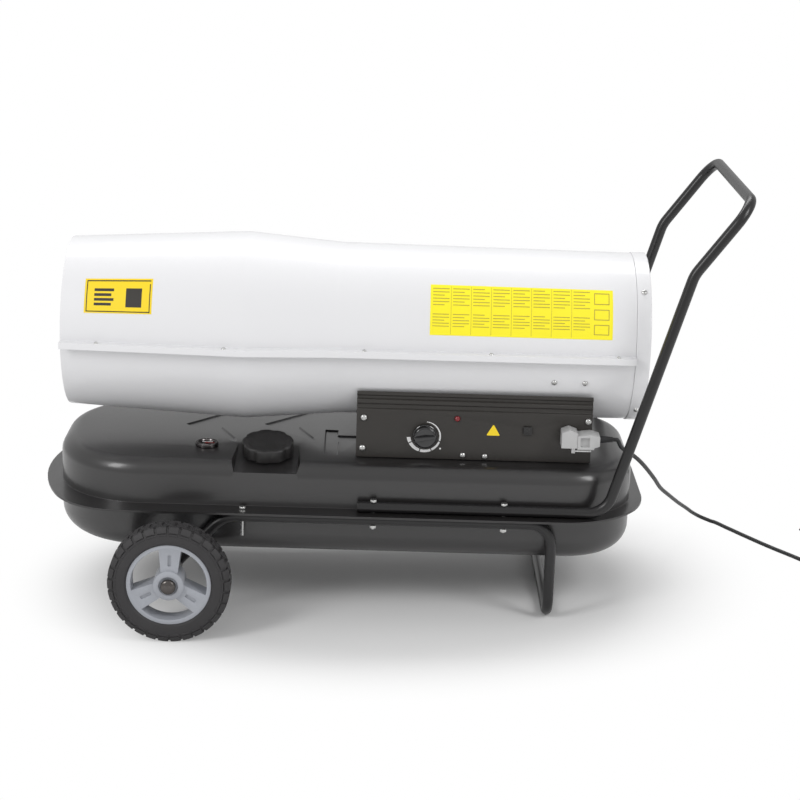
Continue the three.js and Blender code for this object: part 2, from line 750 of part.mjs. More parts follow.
const spokeAngles = [90, 210, 330].map(THREE.MathUtils.degToRad);
const spokeRoot = 21;
const spokeTip = 31;
const slotWidth = 5.6;
const slotLength = 16;
const slotRadius = 46;
const spokeDepth = 12;
const hubDisc = 15;
function makeRim(y, side) {
  const half = tyreWidth / 2 - 4;
  const inner = rimRadius - rimLip;
  const faceY = y + side * half;
  const [front, back] = [faceY, faceY - side * spokeDepth].sort((a, b) => a - b);
  const spokes = spokeAngles.map((angle) => {
    const shape = polygon([
      [hubRadius - 6, -spokeRoot / 2], [inner + 1, -spokeTip / 2],
      [inner + 1, spokeTip / 2], [hubRadius - 6, spokeRoot / 2],
    ]);
    const slot = polygon([
      [slotRadius - slotLength / 2, -slotWidth / 2], [slotRadius + slotLength / 2, -slotWidth / 2],
      [slotRadius + slotLength / 2, slotWidth / 2], [slotRadius - slotLength / 2, slotWidth / 2],
    ]);
    shape.holes.push(slot);
    const geometry = new THREE.ExtrudeGeometry(shape, { depth: back - front, bevelEnabled: false });
    geometry.rotateZ(angle);
    geometry.rotateX(Math.PI / 2);
    geometry.translate(axleX, back, wheelRadius);
    return solid(geometry);
  });
  const ring = sleeve(rimRadius, inner, y - half, y + half, "y", axleX, 0, wheelRadius, 30);
  const hub = rod(hubRadius, y - hubWidth / 2, y + hubWidth / 2, "y", axleX, 0, wheelRadius, 18);
  const bore = rod(axleRadius + holePlay, y - hubWidth, y + hubWidth, "y", axleX, 0, wheelRadius, 12);
  return cut(join(ring, hub, ...spokes), bore);
}

function makeHubCap(side) {
  const from = wheelTrack / 2 + hubWidth / 2 + gap;
  const pocket = axleEnd + gap;
  const top = pocket + 4;
  const profile = [
    [axleRadius + gap, from], [domeRadius, from], [domeRadius, from + 3], [domeRadius * 0.75, top - 1.5],
    [0, top], [0, pocket], [axleRadius + gap, pocket], [axleRadius + gap, from],
  ].map(([radius, along]) => [radius, side * along]);
  return turned(profile, "y", axleX, 0, wheelRadius, 20);
}

[-1, 1].forEach((side) => {
  const y = (side * wheelTrack) / 2;
  piece(`tyre_${sideName(side)}`, makeTyre(y), blackRubber, wheels);
  piece(`wheel_rim_${sideName(side)}`, makeRim(y, side), greyPlastic, wheels);
  piece(`hub_cap_${sideName(side)}`, makeHubCap(side), blackPlastic);
});

// ---------------------------------------------------------------- barrel
const shellProfile = [
  [outletX, outletRadius], [bulgeX, bulgeRadius], [throatX, throatRadius], [shellEndX, shellEndRadius],
];
function shellRadius(x) {
  const k = Math.max(shellProfile.findIndex(([end]) => x <= end), 1);
  const [x0, r0] = shellProfile[k - 1];
  const [x1, r1] = shellProfile[k];
  return r0 + ((r1 - r0) * (x - x0)) / (x1 - x0);
}

const barrelSegments = 44;
const facetSag = bulgeRadius * (1 - Math.cos(Math.PI / barrelSegments)); // inward reach of a facet
const seamTop = barrelZ + gap / 2;
const seamBottom = barrelZ - gap / 2;
const ledgeUnder = seamBottom - shellSheet;

function shellRing() {
  const outer = shellProfile.map(([x, r]) => [r, x]);
  const inner = shellProfile.map(([x, r]) => [r - shellSheet, x]).reverse();
  return turned([...outer, ...inner, outer[0]], "x", 0, 0, barrelZ, barrelSegments);
}

// A strip beside the barrel on one side, from one reach past its wall to another.
function sideStrip(side, from, to, low, high) {
  const inner = shellProfile.map(([x, r]) => [x, side * (r + from)]);
  const outer = shellProfile.map(([x, r]) => [x, side * (r + to)]).reverse();
  return plate(polygon([...inner, ...outer]), low, high);
}

const wide = 3 * bulgeRadius;
const halfSpace = (low, high) => block(2 * outletX, 2 * shellEndX, -wide, wide, low, high);
function makeUpperShell() {
  const half = shellRing().intersect(halfSpace(seamTop, barrelZ + wide));
  const ledges = [-1, 1].map((side) => join(
    sideStrip(side, -shellSheet / 2, ledgeWidth, seamTop, seamTop + shellSheet),
    sideStrip(side, ledgeWidth - shellSheet, ledgeWidth, seamTop - lipDrop, seamTop + shellSheet),
  ));
  return join(half, ...ledges);
}
function makeLowerShell() {
  const half = shellRing().intersect(halfSpace(barrelZ - wide, seamBottom));
  const edge = ledgeWidth - shellSheet - 1;
  const ledges = [-1, 1].map((side) => sideStrip(side, -shellSheet / 2, edge, ledgeUnder, seamBottom));
  const lineHole = rod(lineRadius + 1, barrelZ - wide, barrelZ, "z", lineX, lineY, 0, 8);
  return cut(join(half, ...ledges), lineHole);
}
piece("upper_shell", makeUpperShell(), whitePaint);
piece("lower_shell", makeLowerShell(), whitePaint);

const spigot = 12;
const ringInner = shellEndRadius - shellSheet - 2;
piece("body_ring", turned([
  [ringInner, shellEndX - spigot], [shellEndRadius - shellSheet - 1, shellEndX - spigot],
  [shellEndRadius - shellSheet - 1, shellEndX + gap], [shellEndRadius + 1.5, shellEndX + gap],
  [shellEndRadius + 1.5, shellEndX + ringLength], [ringInner, shellEndX + ringLength],
  [ringInner, shellEndX - spigot],
], "x", 0, 0, barrelZ, barrelSegments), whitePaint);

const guardX = shellEndX + ringLength - 6;
function makeGuard() {
  const reach = ringInner - facetSag - gap;
  const spacing = (reach - guardWire - guardFirst) / (guardRings - 1);
  const radii = Array.from({ length: guardRings }, (_, k) => guardFirst + spacing * k);
  const rings = radii.map((radius) => turned([
    [radius - guardWire, 0], [radius, guardWire], [radius + guardWire, 0], [radius, -guardWire],
    [radius - guardWire, 0],
  ], "x", guardX, 0, barrelZ, 14));
  const length = reach - guardFirst + guardWire;
  const bars = Array.from({ length: guardBars }, (_, k) => {
    const geometry = new THREE.BoxGeometry(2 * guardWire, 2 * guardWire, length);
    geometry.translate(0, 0, guardFirst - guardWire + length / 2);
    geometry.rotateX((2 * Math.PI * k) / guardBars);
    geometry.translate(guardX - guardWire, 0, barrelZ);
    return solid(geometry);
  });
  return join(...rings, ...bars);
}
piece("rear_guard", makeGuard(), bareSteel);

// ---------------------------------------------------------------- combustion chamber and burner
const chamberCone = 26;
const burnerHole = burnerRadius + 1;
const chamberSegments = 32;
function makeChamber() {
  const line = [
    [chamberMouth, chamberFrontX], [chamberRadius, chamberFrontX + chamberCone],
    [chamberRadius, chamberRearX - chamberCone], [burnerHole, chamberRearX],
  ];
  const inner = line.map(([r, x]) => [r - chamberSheet, x]).reverse();
  inner[0] = [burnerHole, chamberRearX - 2 * chamberSheet];
  return turned([...line, ...inner, line[0]], "x", 0, 0, barrelZ, chamberSegments);
}
piece("combustion_chamber", makeChamber(), heatSteel);

const cradleXs = [-430, -120];
const cradleHalf = THREE.MathUtils.degToRad(35);
function makeCradle() {
  const down = -Math.PI / 2;
  const arches = cradleXs.map((x) => {
    const outer = shellRadius(x) - shellSheet - gap - facetSag;
    const shape = ringSector(chamberRadius + gap, outer, down - cradleHalf, down + cradleHalf);
    const arch = wall(shape, x, x + chamberSheet);
    return arch.translate([0, 0, barrelZ]);
  });
  const top = barrelZ - chamberRadius - gap;
  const strip = block(cradleXs[0], cradleXs[1] + chamberSheet, -14, 14, top - 2 - chamberSheet, top - 2);
  return join(...arches, strip);
}
piece("chamber_cradle", makeCradle(), heatSteel);

function makeBaffle() {
  const reach = (chamberRadius - chamberSheet) * Math.cos(Math.PI / chamberSegments) - gap;
  const disc = rod(baffleRadius, 0, chamberSheet, "x", baffleX, 0, barrelZ, 28);
  const arms = [90, 210, 330].map((degrees) => {
    const geometry = new THREE.BoxGeometry(chamberSheet, 12, reach - baffleRadius + 10);
    geometry.translate(chamberSheet / 2, 0, (reach + baffleRadius - 10) / 2);
    geometry.rotateX(THREE.MathUtils.degToRad(degrees - 90));
    geometry.translate(baffleX, 0, barrelZ);
    return solid(geometry);
  });
  return join(disc, ...arms);
}
piece("outlet_baffle", makeBaffle(), heatSteel);

const burnerRearX = -20;
const nozzleRadius = 8;
const nozzleRearX = 12;
const electrodeRadius = 2.5;
const electrodeY = 7;
const electrodeZ = barrelZ + 20;
const electrodeHole = (y) => rod(
  electrodeRadius + holePlay, burnerRearX - 5, burnerRearX + 5, "x", 0, y, electrodeZ, 8,
);
piece("burner_head", cut(
  turned([
    [burnerRadius, chamberRearX - 25], [burnerRadius, chamberRearX + gap],
    [burnerRadius + 13, chamberRearX + gap], [burnerRadius + 13, chamberRearX + gap + chamberSheet],
    [burnerRadius, chamberRearX + gap + chamberSheet], [burnerRadius, burnerRearX],
    [nozzleRadius + holePlay, burnerRearX], [nozzleRadius + holePlay, burnerRearX - chamberSheet],
    [burnerRadius - chamberSheet, burnerRearX - chamberSheet],
    [burnerRadius - chamberSheet, chamberRearX - 25], [burnerRadius, chamberRearX - 25],
  ], "x", 0, 0, barrelZ, 20),
  electrodeHole(electrodeY), electrodeHole(-electrodeY),
), heatSteel);
piece("nozzle", turned([
  [0, -58], [4, -58], [nozzleRadius, -50], [nozzleRadius, burnerRearX + gap], [11, burnerRearX + gap],
  [11, burnerRearX + 8], [6, burnerRearX + 8], [6, nozzleRearX], [0, nozzleRearX],
], "x", 0, 0, barrelZ, 10), brass);
piece("ignition_electrodes", join(
  ...[-electrodeY, electrodeY].map((y) => rod(electrodeRadius, -62, 4, "x", 0, y, electrodeZ, 8)),
  block(burnerRearX + 3, burnerRearX + 11, -13, 13, electrodeZ - 5, electrodeZ + 5),
), ceramic);

// ---------------------------------------------------------------- fan, motor and pump
const bladePitch = THREE.MathUtils.degToRad(28);
const bladeSheet = 1.6;
const bladeRoot = 13;
const bladeTip = 34;
function makeFan() {
  const hub = sleeve(
    fanHubRadius, shaftRadius + gap, fanX - fanHubLength / 2, fanX + fanHubLength / 2, "x", 0, 0, barrelZ,
  );
  const shape = new THREE.Shape();
  shape.moveTo(-bladeRoot, fanHubRadius - 3);
  shape.lineTo(bladeRoot, fanHubRadius - 3);
  const tipAngle = Math.asin(bladeTip / fanRadius);
  shape.absarc(0, 0, fanRadius, Math.PI / 2 - tipAngle, Math.PI / 2 + tipAngle);
  const blades = Array.from({ length: bladeCount }, (_, k) => {
    const options = { depth: bladeSheet, bevelEnabled: false, curveSegments: 5 };
    const geometry = new THREE.ExtrudeGeometry(shape, options);
    geometry.applyMatrix4(yzToX);
    geometry.translate(-bladeSheet / 2, 0, 0);
    geometry.rotateZ(bladePitch);
    geometry.rotateX((2 * Math.PI * k) / bladeCount);
    geometry.translate(fanX, 0, barrelZ);
    return solid(geometry);
  });
  const bore = rod(shaftRadius + gap, fanX - fanHubLength, fanX + fanHubLength, "x", 0, 0, barrelZ);
  return cut(join(hub, ...blades), bore);
}
piece("fan_blade", makeFan(), bareSteel);

const motorEndX = motorX + motorLength;
const pumpX = motorEndX + gap;
const rotorRadius = 30;
const rotorLength = 9;
const rotorX = pumpX + 8;
const shaftStartX = fanX - fanHubLength / 2 - 6;
piece("motor_shaft", turned([
  [0, shaftStartX], [shaftRadius, shaftStartX], [shaftRadius, rotorX], [rotorRadius, rotorX],
  [rotorRadius, rotorX + rotorLength], [0, rotorX + rotorLength],
], "x", 0, 0, barrelZ, 16), bareSteel);
const shaftBore = shaftRadius + holePlay;
piece("motor", turned([
  [shaftBore, motorX], [22, motorX], [22, motorX + 10], [motorRadius - 8, motorX + 10],
  [motorRadius, motorX + 20], [motorRadius, motorEndX - 16], [motorRadius - 8, motorEndX - 6],
  [26, motorEndX - 6], [26, motorEndX], [shaftBore, motorEndX], [shaftBore, motorX],
], "x", 0, 0, barrelZ, 24), bareSteel);
piece("air_pump", turned([
  [shaftBore, pumpX], [pumpRadius, pumpX], [pumpRadius, pumpX + pumpLength], [0, pumpX + pumpLength],
  [0, rotorX + rotorLength + 1], [rotorRadius + 1, rotorX + rotorLength + 1], [rotorRadius + 1, rotorX - 1],
  [shaftBore, rotorX - 1], [shaftBore, pumpX],
], "x", 0, 0, barrelZ, 20), bareSteel);
const filterX = pumpX + pumpLength + gap;
piece("filter_cover", turned([
  [0, filterX + filterCoverLength], [pumpRadius - 6, filterX + filterCoverLength],
  [pumpRadius, filterX + filterCoverLength - 6], [pumpRadius, filterX], [pumpRadius - 3, filterX],
  [pumpRadius - 3, filterX + filterCoverLength - 8], [0, filterX + filterCoverLength - 4],
], "x", 0, 0, barrelZ, 20), blackPlastic);

const bracketX = 330;
const bracketEndX = 405;
const bracketZ = barrelZ - motorRadius - gap;
const bracketScrewZ = 416;
function makeMotorBracket() {
  const reach = (z) => {
    const outside = Math.min(shellRadius(bracketX), shellRadius(bracketEndX));
    const radius = outside - shellSheet - facetSag - gap;
    return Math.sqrt(radius ** 2 - (barrelZ - z) ** 2);
  };
  const high = bracketScrewZ + 14;
  const low = bracketZ - shellSheet;
  const outside = [[reach(high), high], [reach(low), low], [-reach(low), low], [-reach(high), high]];
  const inside = outside.map(([y, z]) => [
    y - Math.sign(y) * 1.2 * shellSheet, z === low ? bracketZ : z,
  ]).reverse();
  const band = polygon([...outside, ...inside]);
  return wall(band, bracketX, bracketEndX);
}
piece("motor_bracket", makeMotorBracket(), bareSteel);

piece("fuel_line", bentTube([
  [lineX, lineY, tankBottomZ + 20], [lineX, lineY, barrelZ, 18], [60, 0, barrelZ, 12],
  [nozzleRearX + gap, 0, barrelZ],
], lineRadius, 8), brass);

// ---------------------------------------------------------------- control box
const boxFloorZ = tankTopZ + ribHeight + gap;
const boxHalfY = panelY - panelSheet - gap;
const boxNeckY = boxHalfY - 5; // the end walls draw in under the panels' ribs
const boxWallTopZ = 370;
function makeControlBox() {
  const floor = block(boxStartX, boxEndX, -boxHalfY, boxHalfY, boxFloorZ, boxFloorZ + panelSheet);
  const outline = polygon([
    [-boxHalfY, boxFloorZ], [boxHalfY, boxFloorZ], [boxHalfY, panelFaceTopZ - 4],
    [boxNeckY, panelFaceTopZ - 1], [boxNeckY, boxWallTopZ],
    [-boxNeckY, boxWallTopZ], [-boxNeckY, panelFaceTopZ - 1], [-boxHalfY, panelFaceTopZ - 4],
  ]);
  const walls = [boxStartX, boxEndX - panelSheet].map((x) => {
    const radius = shellRadius(x) + gap;
    const end = wall(outline, x, x + panelSheet);
    return cut(end, rod(radius, x - 5, x + 5, "x", 0, 0, barrelZ, barrelSegments));
  });
  const lips = [-1, 1].map((side) => {
    const ys = [side * boxHalfY, side * (boxHalfY - panelSheet)].sort((a, b) => a - b);
    return block(boxStartX, boxEndX, ys[0], ys[1], boxFloorZ, boxFloorZ + 12);
  });
  const lineHole = rod(lineRadius + 1, boxFloorZ - 5, boxFloorZ + 5, "z", lineX, lineY, 0, 8);
  return cut(join(floor, ...walls, ...lips), lineHole);
}
piece("control_box", makeControlBox(), blackPaint);

// The side panel's outline: a flat face under two ribs that step in towards the barrel.
const panelBottomZ = boxFloorZ - 1;
const panelLine = [
  [panelY, panelBottomZ], [panelY, panelFaceTopZ], [panelY - 3.6, panelFaceTopZ + 2],
  [panelY - 3.6, panelFaceTopZ + 8], [panelY - 0.6, panelFaceTopZ + 10],
  [panelY - 0.6, panelFaceTopZ + 16], [panelY - 5, panelFaceTopZ + 18],
  [panelY - 5, panelFaceTopZ + 22], [panelY - 2.4, panelFaceTopZ + 24], [panelY - 2.4, panelTopZ],
];
const inletLow = inletZ - inletHeight / 2;
const inletHigh = inletZ + inletHeight / 2;
const inletNeck = 4; // step from the inlet's body to the neck that passes through the panel
function makePanel(side) {
  const points = panelLine.map(([y, z]) => [side * y, z]);
  const shape = sheetLine(side < 0 ? points.reverse() : points, panelSheet);
  return wall(shape, boxStartX, boxEndX);
}
const panelHole = (radius, x, z) => rod(radius, -panelY - 20, -panelY + 20, "y", x, 0, z, 16);
const knobShaftRadius = 3;
const sensorRadius = 4;
piece("control_panel", cut(
  makePanel(-1),
  panelHole(knobShaftRadius + holePlay, knobX, knobZ),
  panelHole(lampRadius - 1 + gap, lampX, lampZ),
  panelHole(sensorRadius + gap, sensorX, sensorZ),
  block(
    inletX + inletNeck - gap, inletX + inletWidth - inletNeck + gap, -panelY - 20, -panelY + 20,
    inletLow + inletNeck - gap, inletHigh - 2 * inletNeck + gap,
  ),
), blackPaint);
piece("far_panel", makePanel(1), blackPaint);

const knobTilt = THREE.MathUtils.degToRad(9);
function makeKnob() {
  const face = -panelY - 1;
  const body = turned([
    [0, face], [knobRadius, face], [knobRadius, face - 3], [knobRadius - 1.5, face - 10],
    [knobRadius - 4, face - 12], [0, face - 12],
  ], "y", knobX, 0, knobZ, 28);
  const grip = new THREE.BoxGeometry(2 * knobRadius - 5, knobDepth - 11, 8);
  grip.rotateY(-knobTilt);
  grip.translate(knobX, face - knobDepth + (knobDepth - 11) / 2, knobZ);
  const shaft = rod(knobShaftRadius, face - 1, -panelY + knobShaftDepth, "y", knobX, 0, knobZ, 12);
  return join(body, solid(grip), shaft);
}
piece("thermostat_knob", makeKnob(), blackPlastic);
piece("indicator_lamp", turned([
  [0, -panelY - 4], [lampRadius - 2, -panelY - 4], [lampRadius, -panelY - 2], [lampRadius, -panelY - gap],
  [lampRadius - 1, -panelY - gap], [lampRadius - 1, -panelY + 10], [0, -panelY + 10],
], "y", lampX, 0, lampZ, 14), redLens);
piece("room_sensor", join(
  rod(sensorRadius, -panelY - 4, -panelY + 8, "y", sensorX, 0, sensorZ, 10),
  block(sensorX - 7, sensorX + 7, -panelY - 3, -panelY - gap, sensorZ - 7, sensorZ + 7),
), blackPlastic);

const boardFoot = boxFloorZ + panelSheet + gap;
const boardY = -panelY + boardSetback;
const boardStartX = boxStartX + 52;
const chipX = boardStartX + 120;
const potentiometerFront = -panelY + knobShaftDepth + gap;
piece("control_board", join(
  block(boardStartX, boardStartX + boardLength, boardY, boardY + boardSheet, boardFoot, boardFoot + boardHeight),
  rod(potentiometerRadius, potentiometerFront, boardY + boardSheet / 2, "y", knobX, 0, knobZ, 12),
  block(chipX, chipX + relaySize, boardY + boardSheet / 2, boardY + relaySize / 2, knobZ - relaySize, knobZ),
), boardGreen);
const transformerX = boardStartX + boardLength + 10;
piece("ignition_transformer", block(
  transformerX, transformerX + transformerLength, -transformerWidth / 2, transformerWidth / 2,
  boardFoot, boardFoot + transformerHeight,
), blackPlastic);

// ---------------------------------------------------------------- mains inlet and its connector
const inletFront = -panelY - inletDepth;
const tongueLength = 9;
const tongueHalf = 7;
const tongueY = inletFront + inletDepth / 2;
const tongueZ = connectorLow + connectorHeight / 2;
function makeInlet() {
  const right = inletX + inletWidth;
  const middle = (inletX + right) / 2;
  const face = polygon([
    [inletX, inletLow], [right, inletLow], [right, inletHigh - 5], [middle, inletHigh], [inletX, inletHigh - 5],
  ]);
  const neck = block(
    inletX + inletNeck, right - inletNeck, -panelY - 1, -panelY + 12,
    inletLow + inletNeck, inletHigh - 2 * inletNeck,
  );
  const tongue = block(
    right - 1, right + tongueLength,
    tongueY - tongueHalf, tongueY + tongueHalf, tongueZ - tongueHalf, tongueZ + tongueHalf,
  );
  const latchPin = rod(
    latchPinRadius, inletFront + 3, -panelY - 3, "y", latchX, 0, latchZ, 10,
  );
  const lugs = [inletFront + 1, -panelY - 6].map(
    (y) => block(latchX - 3, latchX + 3, y, y + 3, latchZ - 3, inletLow + 1),
  );
  return join(facing(face, inletFront, -panelY - gap), neck, tongue, latchPin, ...lugs);
}
const latchX = inletX + inletWidth - 6;
const latchZ = connectorLow - 4;
const latchPinRadius = 1.5;
piece("inlet_socket", makeInlet(), paleGrey);

const connectorX = inletX + inletWidth + gap;
const connectorEndX = connectorX + connectorLength;
const connectorHigh = connectorLow + connectorHeight;
const cordY = -panelY - 15;
const cordZ = 325;
function makeConnector() {
  const front = inletFront - 1;
  const back = front + connectorDepth;
  const body = facing(polygon([
    [connectorX, connectorLow], [connectorEndX - 9, connectorLow], [connectorEndX - 9, connectorLow + 3],
    [connectorEndX, connectorLow + 6], [connectorEndX, connectorHigh - 4], [connectorX + 22, connectorHigh],
    [connectorX, connectorHigh - 3],
  ]), front, Math.min(back, -panelY - gap));
  const window = block(
    connectorX + 5, connectorX + 20, front - 1, front + 6, connectorLow + 4, connectorHigh - 6,
  );
  const socketHalf = tongueHalf + gap;
  const socket = block(
    connectorX - 1, inletX + inletWidth + tongueLength + 1,
    tongueY - socketHalf, tongueY + socketHalf, tongueZ - socketHalf, tongueZ + socketHalf,
  );
  return cut(body, window, socket);
}
piece("cord_connector", makeConnector(), paleGrey);

const latchReach = 30;
function makeLatch() {
  const innerFront = inletFront + 4.5;
  const innerBack = -panelY - 6.5;
  const arm = block(
    latchX + 2.5, latchX + latchReach, innerFront, innerBack, latchZ - 1.3, latchZ + 1.3,
  );
  const barrel = sleeve(3.2, latchPinRadius + gap, innerFront, innerBack, "y", latchX, 0, latchZ, 12);
  return join(arm, barrel);
}
piece("connector_latch", makeLatch(), bareSteel);

const reliefX = connectorEndX + gap;
const reliefEndX = reliefX + reliefLength;
piece("strain_relief", turned([
  [0, reliefX], [6.2, reliefX], [6.2, reliefX + 4], [cordRadius + 1, reliefEndX], [0, reliefEndX],
], "x", 0, cordY, cordZ, 12), blackPlastic);

// ---------------------------------------------------------------- stance and origin
// The lean that brings the foot's lowest point down to the floor, found by halving.
function footHeight(angle) {
  const place = nodes.support_frame.geometry.attributes.position;
  let lowest = Infinity;
  for (let i = 0; i < place.count; i += 1) {
    const ahead = place.getX(i) - axleX;
    const above = place.getZ(i) - wheelRadius;
    lowest = Math.min(lowest, wheelRadius - ahead * Math.sin(angle) + above * Math.cos(angle));
  }
  return lowest;
}
const steepest = THREE.MathUtils.degToRad(20);
let [flat, steep] = [-steepest, steepest];
for (let k = 0; k < 40; k += 1) {
  const middle = (flat + steep) / 2;
  [flat, steep] = footHeight(middle) > 0 ? [middle, steep] : [flat, middle];
}
const lean = steep;

const stance = new THREE.Matrix4()
  .makeTranslation(axleX, 0, wheelRadius)
  .multiply(new THREE.Matrix4().makeRotationY(lean))
  .multiply(new THREE.Matrix4().makeTranslation(-axleX, 0, -wheelRadius));
stance.decompose(heater.position, heater.quaternion, heater.scale);

const onCord = ["cord_connector", "strain_relief"];
const footprint = new THREE.Box3();
heater.updateMatrixWorld(true);
wheels.updateMatrixWorld(true);
Object.values(nodes)
  .filter((mesh) => !onCord.includes(mesh.name))
  .forEach((mesh) => footprint.union(new THREE.Box3().setFromObject(mesh, true)));
const middle = footprint.getCenter(new THREE.Vector3());
const origin = new THREE.Vector3(middle.x, middle.y, footprint.min.z);

// ---------------------------------------------------------------- mains lead on the floor
const axisX = new THREE.Vector3(1, 0, 0);
const cordAhead = axisX.clone().transformDirection(stance);
const cordExit = new THREE.Vector3(reliefEndX + gap, cordY, cordZ).applyMatrix4(stance).sub(origin);

// The lead's coil: it spirals in, climbs to the next layer in the half turn where the spiral
// reverses, and spirals out again. It starts and ends in a straight stretch.
const coilMiddle = new THREE.Vector2(803, 66);
const coilStartAngle = THREE.MathUtils.degToRad(216);
const coilSteps = 24; // stations in one turn
const coilSides = 6;
const plugRadius = 18.5;
const tailLength = 36;
const outerTurn = coilRadius + (coilPitch * coilTurnsPerLayer) / 2;

function coilStations() {
  const spiral = 2 * Math.PI * coilTurnsPerLayer;
  const total = 2 * spiral + Math.PI;
  const steps = (2 * coilTurnsPerLayer + 0.5) * coilSteps;
  const at = [];
  for (let k = 0; k <= steps; k += 1) {
    const turned = (total * k) / steps;
    const inward = Math.min(turned, total - turned);
    const climb = THREE.MathUtils.smoothstep(turned, spiral, spiral + Math.PI);
    const radius = outerTurn - (coilPitch * inward) / (2 * Math.PI);
    const rise = THREE.MathUtils.smoothstep(turned, total - Math.PI / 2, total);
    const angle = coilStartAngle + turned;
    at.push(new THREE.Vector3(
      coilMiddle.x + radius * Math.cos(angle),
      coilMiddle.y + radius * Math.sin(angle),
      cordRadius + coilClimb * climb + (plugRadius - cordRadius - coilClimb) * rise,
    ));
  }
  return at;
}

const turnAhead = (angle) => new THREE.Vector3(-Math.sin(angle), Math.cos(angle), 0);
const coilLine = coilStations();
const coilEndAngle = coilStartAngle + 2 * Math.PI * (2 * coilTurnsPerLayer + 0.5);
const coilStart = turnAhead(coilStartAngle);
const coilEnd = turnAhead(coilEndAngle);
const leadIn = coilLine[0].clone().addScaledVector(coilStart, -2 * cordRadius);
const leadOut = coilLine[coilLine.length - 1].clone().addScaledVector(coilEnd, tailLength);

// The directions of a line of points, with both ends given.
function withDirections(points, first, last) {
  return points.map((at, i) => {
    if (i === 0 || i === points.length - 1) {
      return { at, ahead: i === 0 ? first : last };
    }
    return { at, ahead: points[i + 1].clone().sub(points[i - 1]).normalize() };
  });
}

const coilRoute = new Route(withDirections([leadIn, ...coilLine, leadOut], coilStart, coilEnd));
const coilTube = tubeAlong(coilRoute, cordRadius, coilSides, coilRoute.stations.length - 1);
piece("cord_coil", solid(coilTube), blackRubber, lead);

// The free stretch: out of the strain relief, down behind the handle and along the floor.
const cordPoints = [
  [389.6, -144, 287.7], [409.2, -126, 269.4], [428.5, -98, 246.4], [460.5, -30, 195],
  [482.3, 30, 154], [507.3, 90, 118], [533.3, 155, 81], [557.3, 210, 50], [577.3, 247, 26],
  [595.3, 265, 11], [613.9, 263.5, 3.5], [639.5, 226, 3.5], [662.4, 189.2, 3.5],
  [698.9, 132.7, 3.5], [736.3, 80, 3.5],
];
const cordStep = 2.9 * 2 * cordRadius;
function cordRoute() {
  const join = leadIn.clone().addScaledVector(coilStart, -gap);
  const points = [
    cordExit,
    cordExit.clone().addScaledVector(cordAhead, 2 * cordRadius),
    ...cordPoints.map(([x, y, z]) => new THREE.Vector3(x, y, z)),
    join.clone().addScaledVector(coilStart, -2 * cordRadius),
    join,
  ];
  const curve = new THREE.CatmullRomCurve3(points, false, "centripetal");
  const count = Math.round(curve.getLength() / cordStep);
  const at = curve.getSpacedPoints(count);
  at.forEach((point) => point.setZ(Math.max(point.z, cordRadius)));
  return new Route(withDirections(at, cordAhead, coilStart));
}
const runRoute = cordRoute();
const runTube = tubeAlong(runRoute, cordRadius, 8, runRoute.stations.length - 1);
piece("cord_run", solid(runTube), blackRubber, lead);

// A round plug with two pins, lying where the coil's tail ends.
const plugLength = 36;
const plugNeck = 22;
const pinRadius = 2.4;
const pinLength = 19;
const pinSpread = 19;
function makePlug() {
  const face = plugNeck + plugLength;
  const body = turned([
    [0, 0], [cordRadius + 1.5, 0], [7, plugNeck - 4], [plugRadius - 4, plugNeck],
    [plugRadius, plugNeck + 8], [plugRadius, face], [0, face],
  ], "x", 0, 0, 0, 20);
  const pins = [-1, 1].map((side) => rod(
    pinRadius, face - 1, face + pinLength, "x", 0, (side * pinSpread) / 2, 0, 10,
  ));
  return join(body, ...pins);
}
const plug = piece("mains_plug", makePlug(), blackRubber, lead);
plug.position.copy(leadOut).addScaledVector(coilEnd, gap);
plug.rotation.z = Math.atan2(coilEnd.y, coilEnd.x);

// The least distance between stretches of the coil that lie more than half a turn apart.
function leastGap(points, apart) {
  let least = Infinity;
  for (let i = 0; i < points.length; i += 1) {
    for (let j = i + apart; j < points.length; j += 1) {
      least = Math.min(least, points[i].distanceTo(points[j]));
    }
  }
  return least - 2 * cordRadius;
}
console.log(`least gap of the coil to itself: ${leastGap(coilLine, coilSteps / 2).toFixed(2)} mm`);

const model = new THREE.Group();
const standing = new THREE.Group();
standing.add(heater, wheels);
standing.position.copy(origin).negate();
model.add(standing, lead);

export default model;
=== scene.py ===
"""The forced air heater's looks: fine shapes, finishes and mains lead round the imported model.

Pieces are drawn in millimetres, square to the fuel tank, with z = 0 level with the wheels'
lowest points. settle() turns a finished piece to metres and leans it as the heater leans.
"""
import json
from math import asin, atan2, cos, degrees, dist, hypot, pi, radians, sin, sqrt, tan

import bmesh
import bpy
from mathutils import Matrix, Vector


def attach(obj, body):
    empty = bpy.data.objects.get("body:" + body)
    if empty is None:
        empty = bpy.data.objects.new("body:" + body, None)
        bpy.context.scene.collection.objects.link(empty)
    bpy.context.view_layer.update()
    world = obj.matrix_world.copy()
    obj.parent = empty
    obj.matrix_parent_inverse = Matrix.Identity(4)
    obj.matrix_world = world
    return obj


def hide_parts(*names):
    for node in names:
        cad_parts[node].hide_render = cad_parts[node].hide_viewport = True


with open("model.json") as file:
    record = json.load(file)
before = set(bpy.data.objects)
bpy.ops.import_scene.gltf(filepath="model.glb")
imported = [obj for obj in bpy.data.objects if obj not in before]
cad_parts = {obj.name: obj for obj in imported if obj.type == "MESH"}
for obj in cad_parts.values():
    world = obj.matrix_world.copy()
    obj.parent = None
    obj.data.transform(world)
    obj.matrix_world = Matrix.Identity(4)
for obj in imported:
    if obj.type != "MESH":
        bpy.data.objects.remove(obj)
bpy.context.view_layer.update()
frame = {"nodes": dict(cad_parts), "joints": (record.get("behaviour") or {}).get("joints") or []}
NODES = frame["nodes"]
JOINTS = {joint["name"]: joint for joint in frame["joints"]}

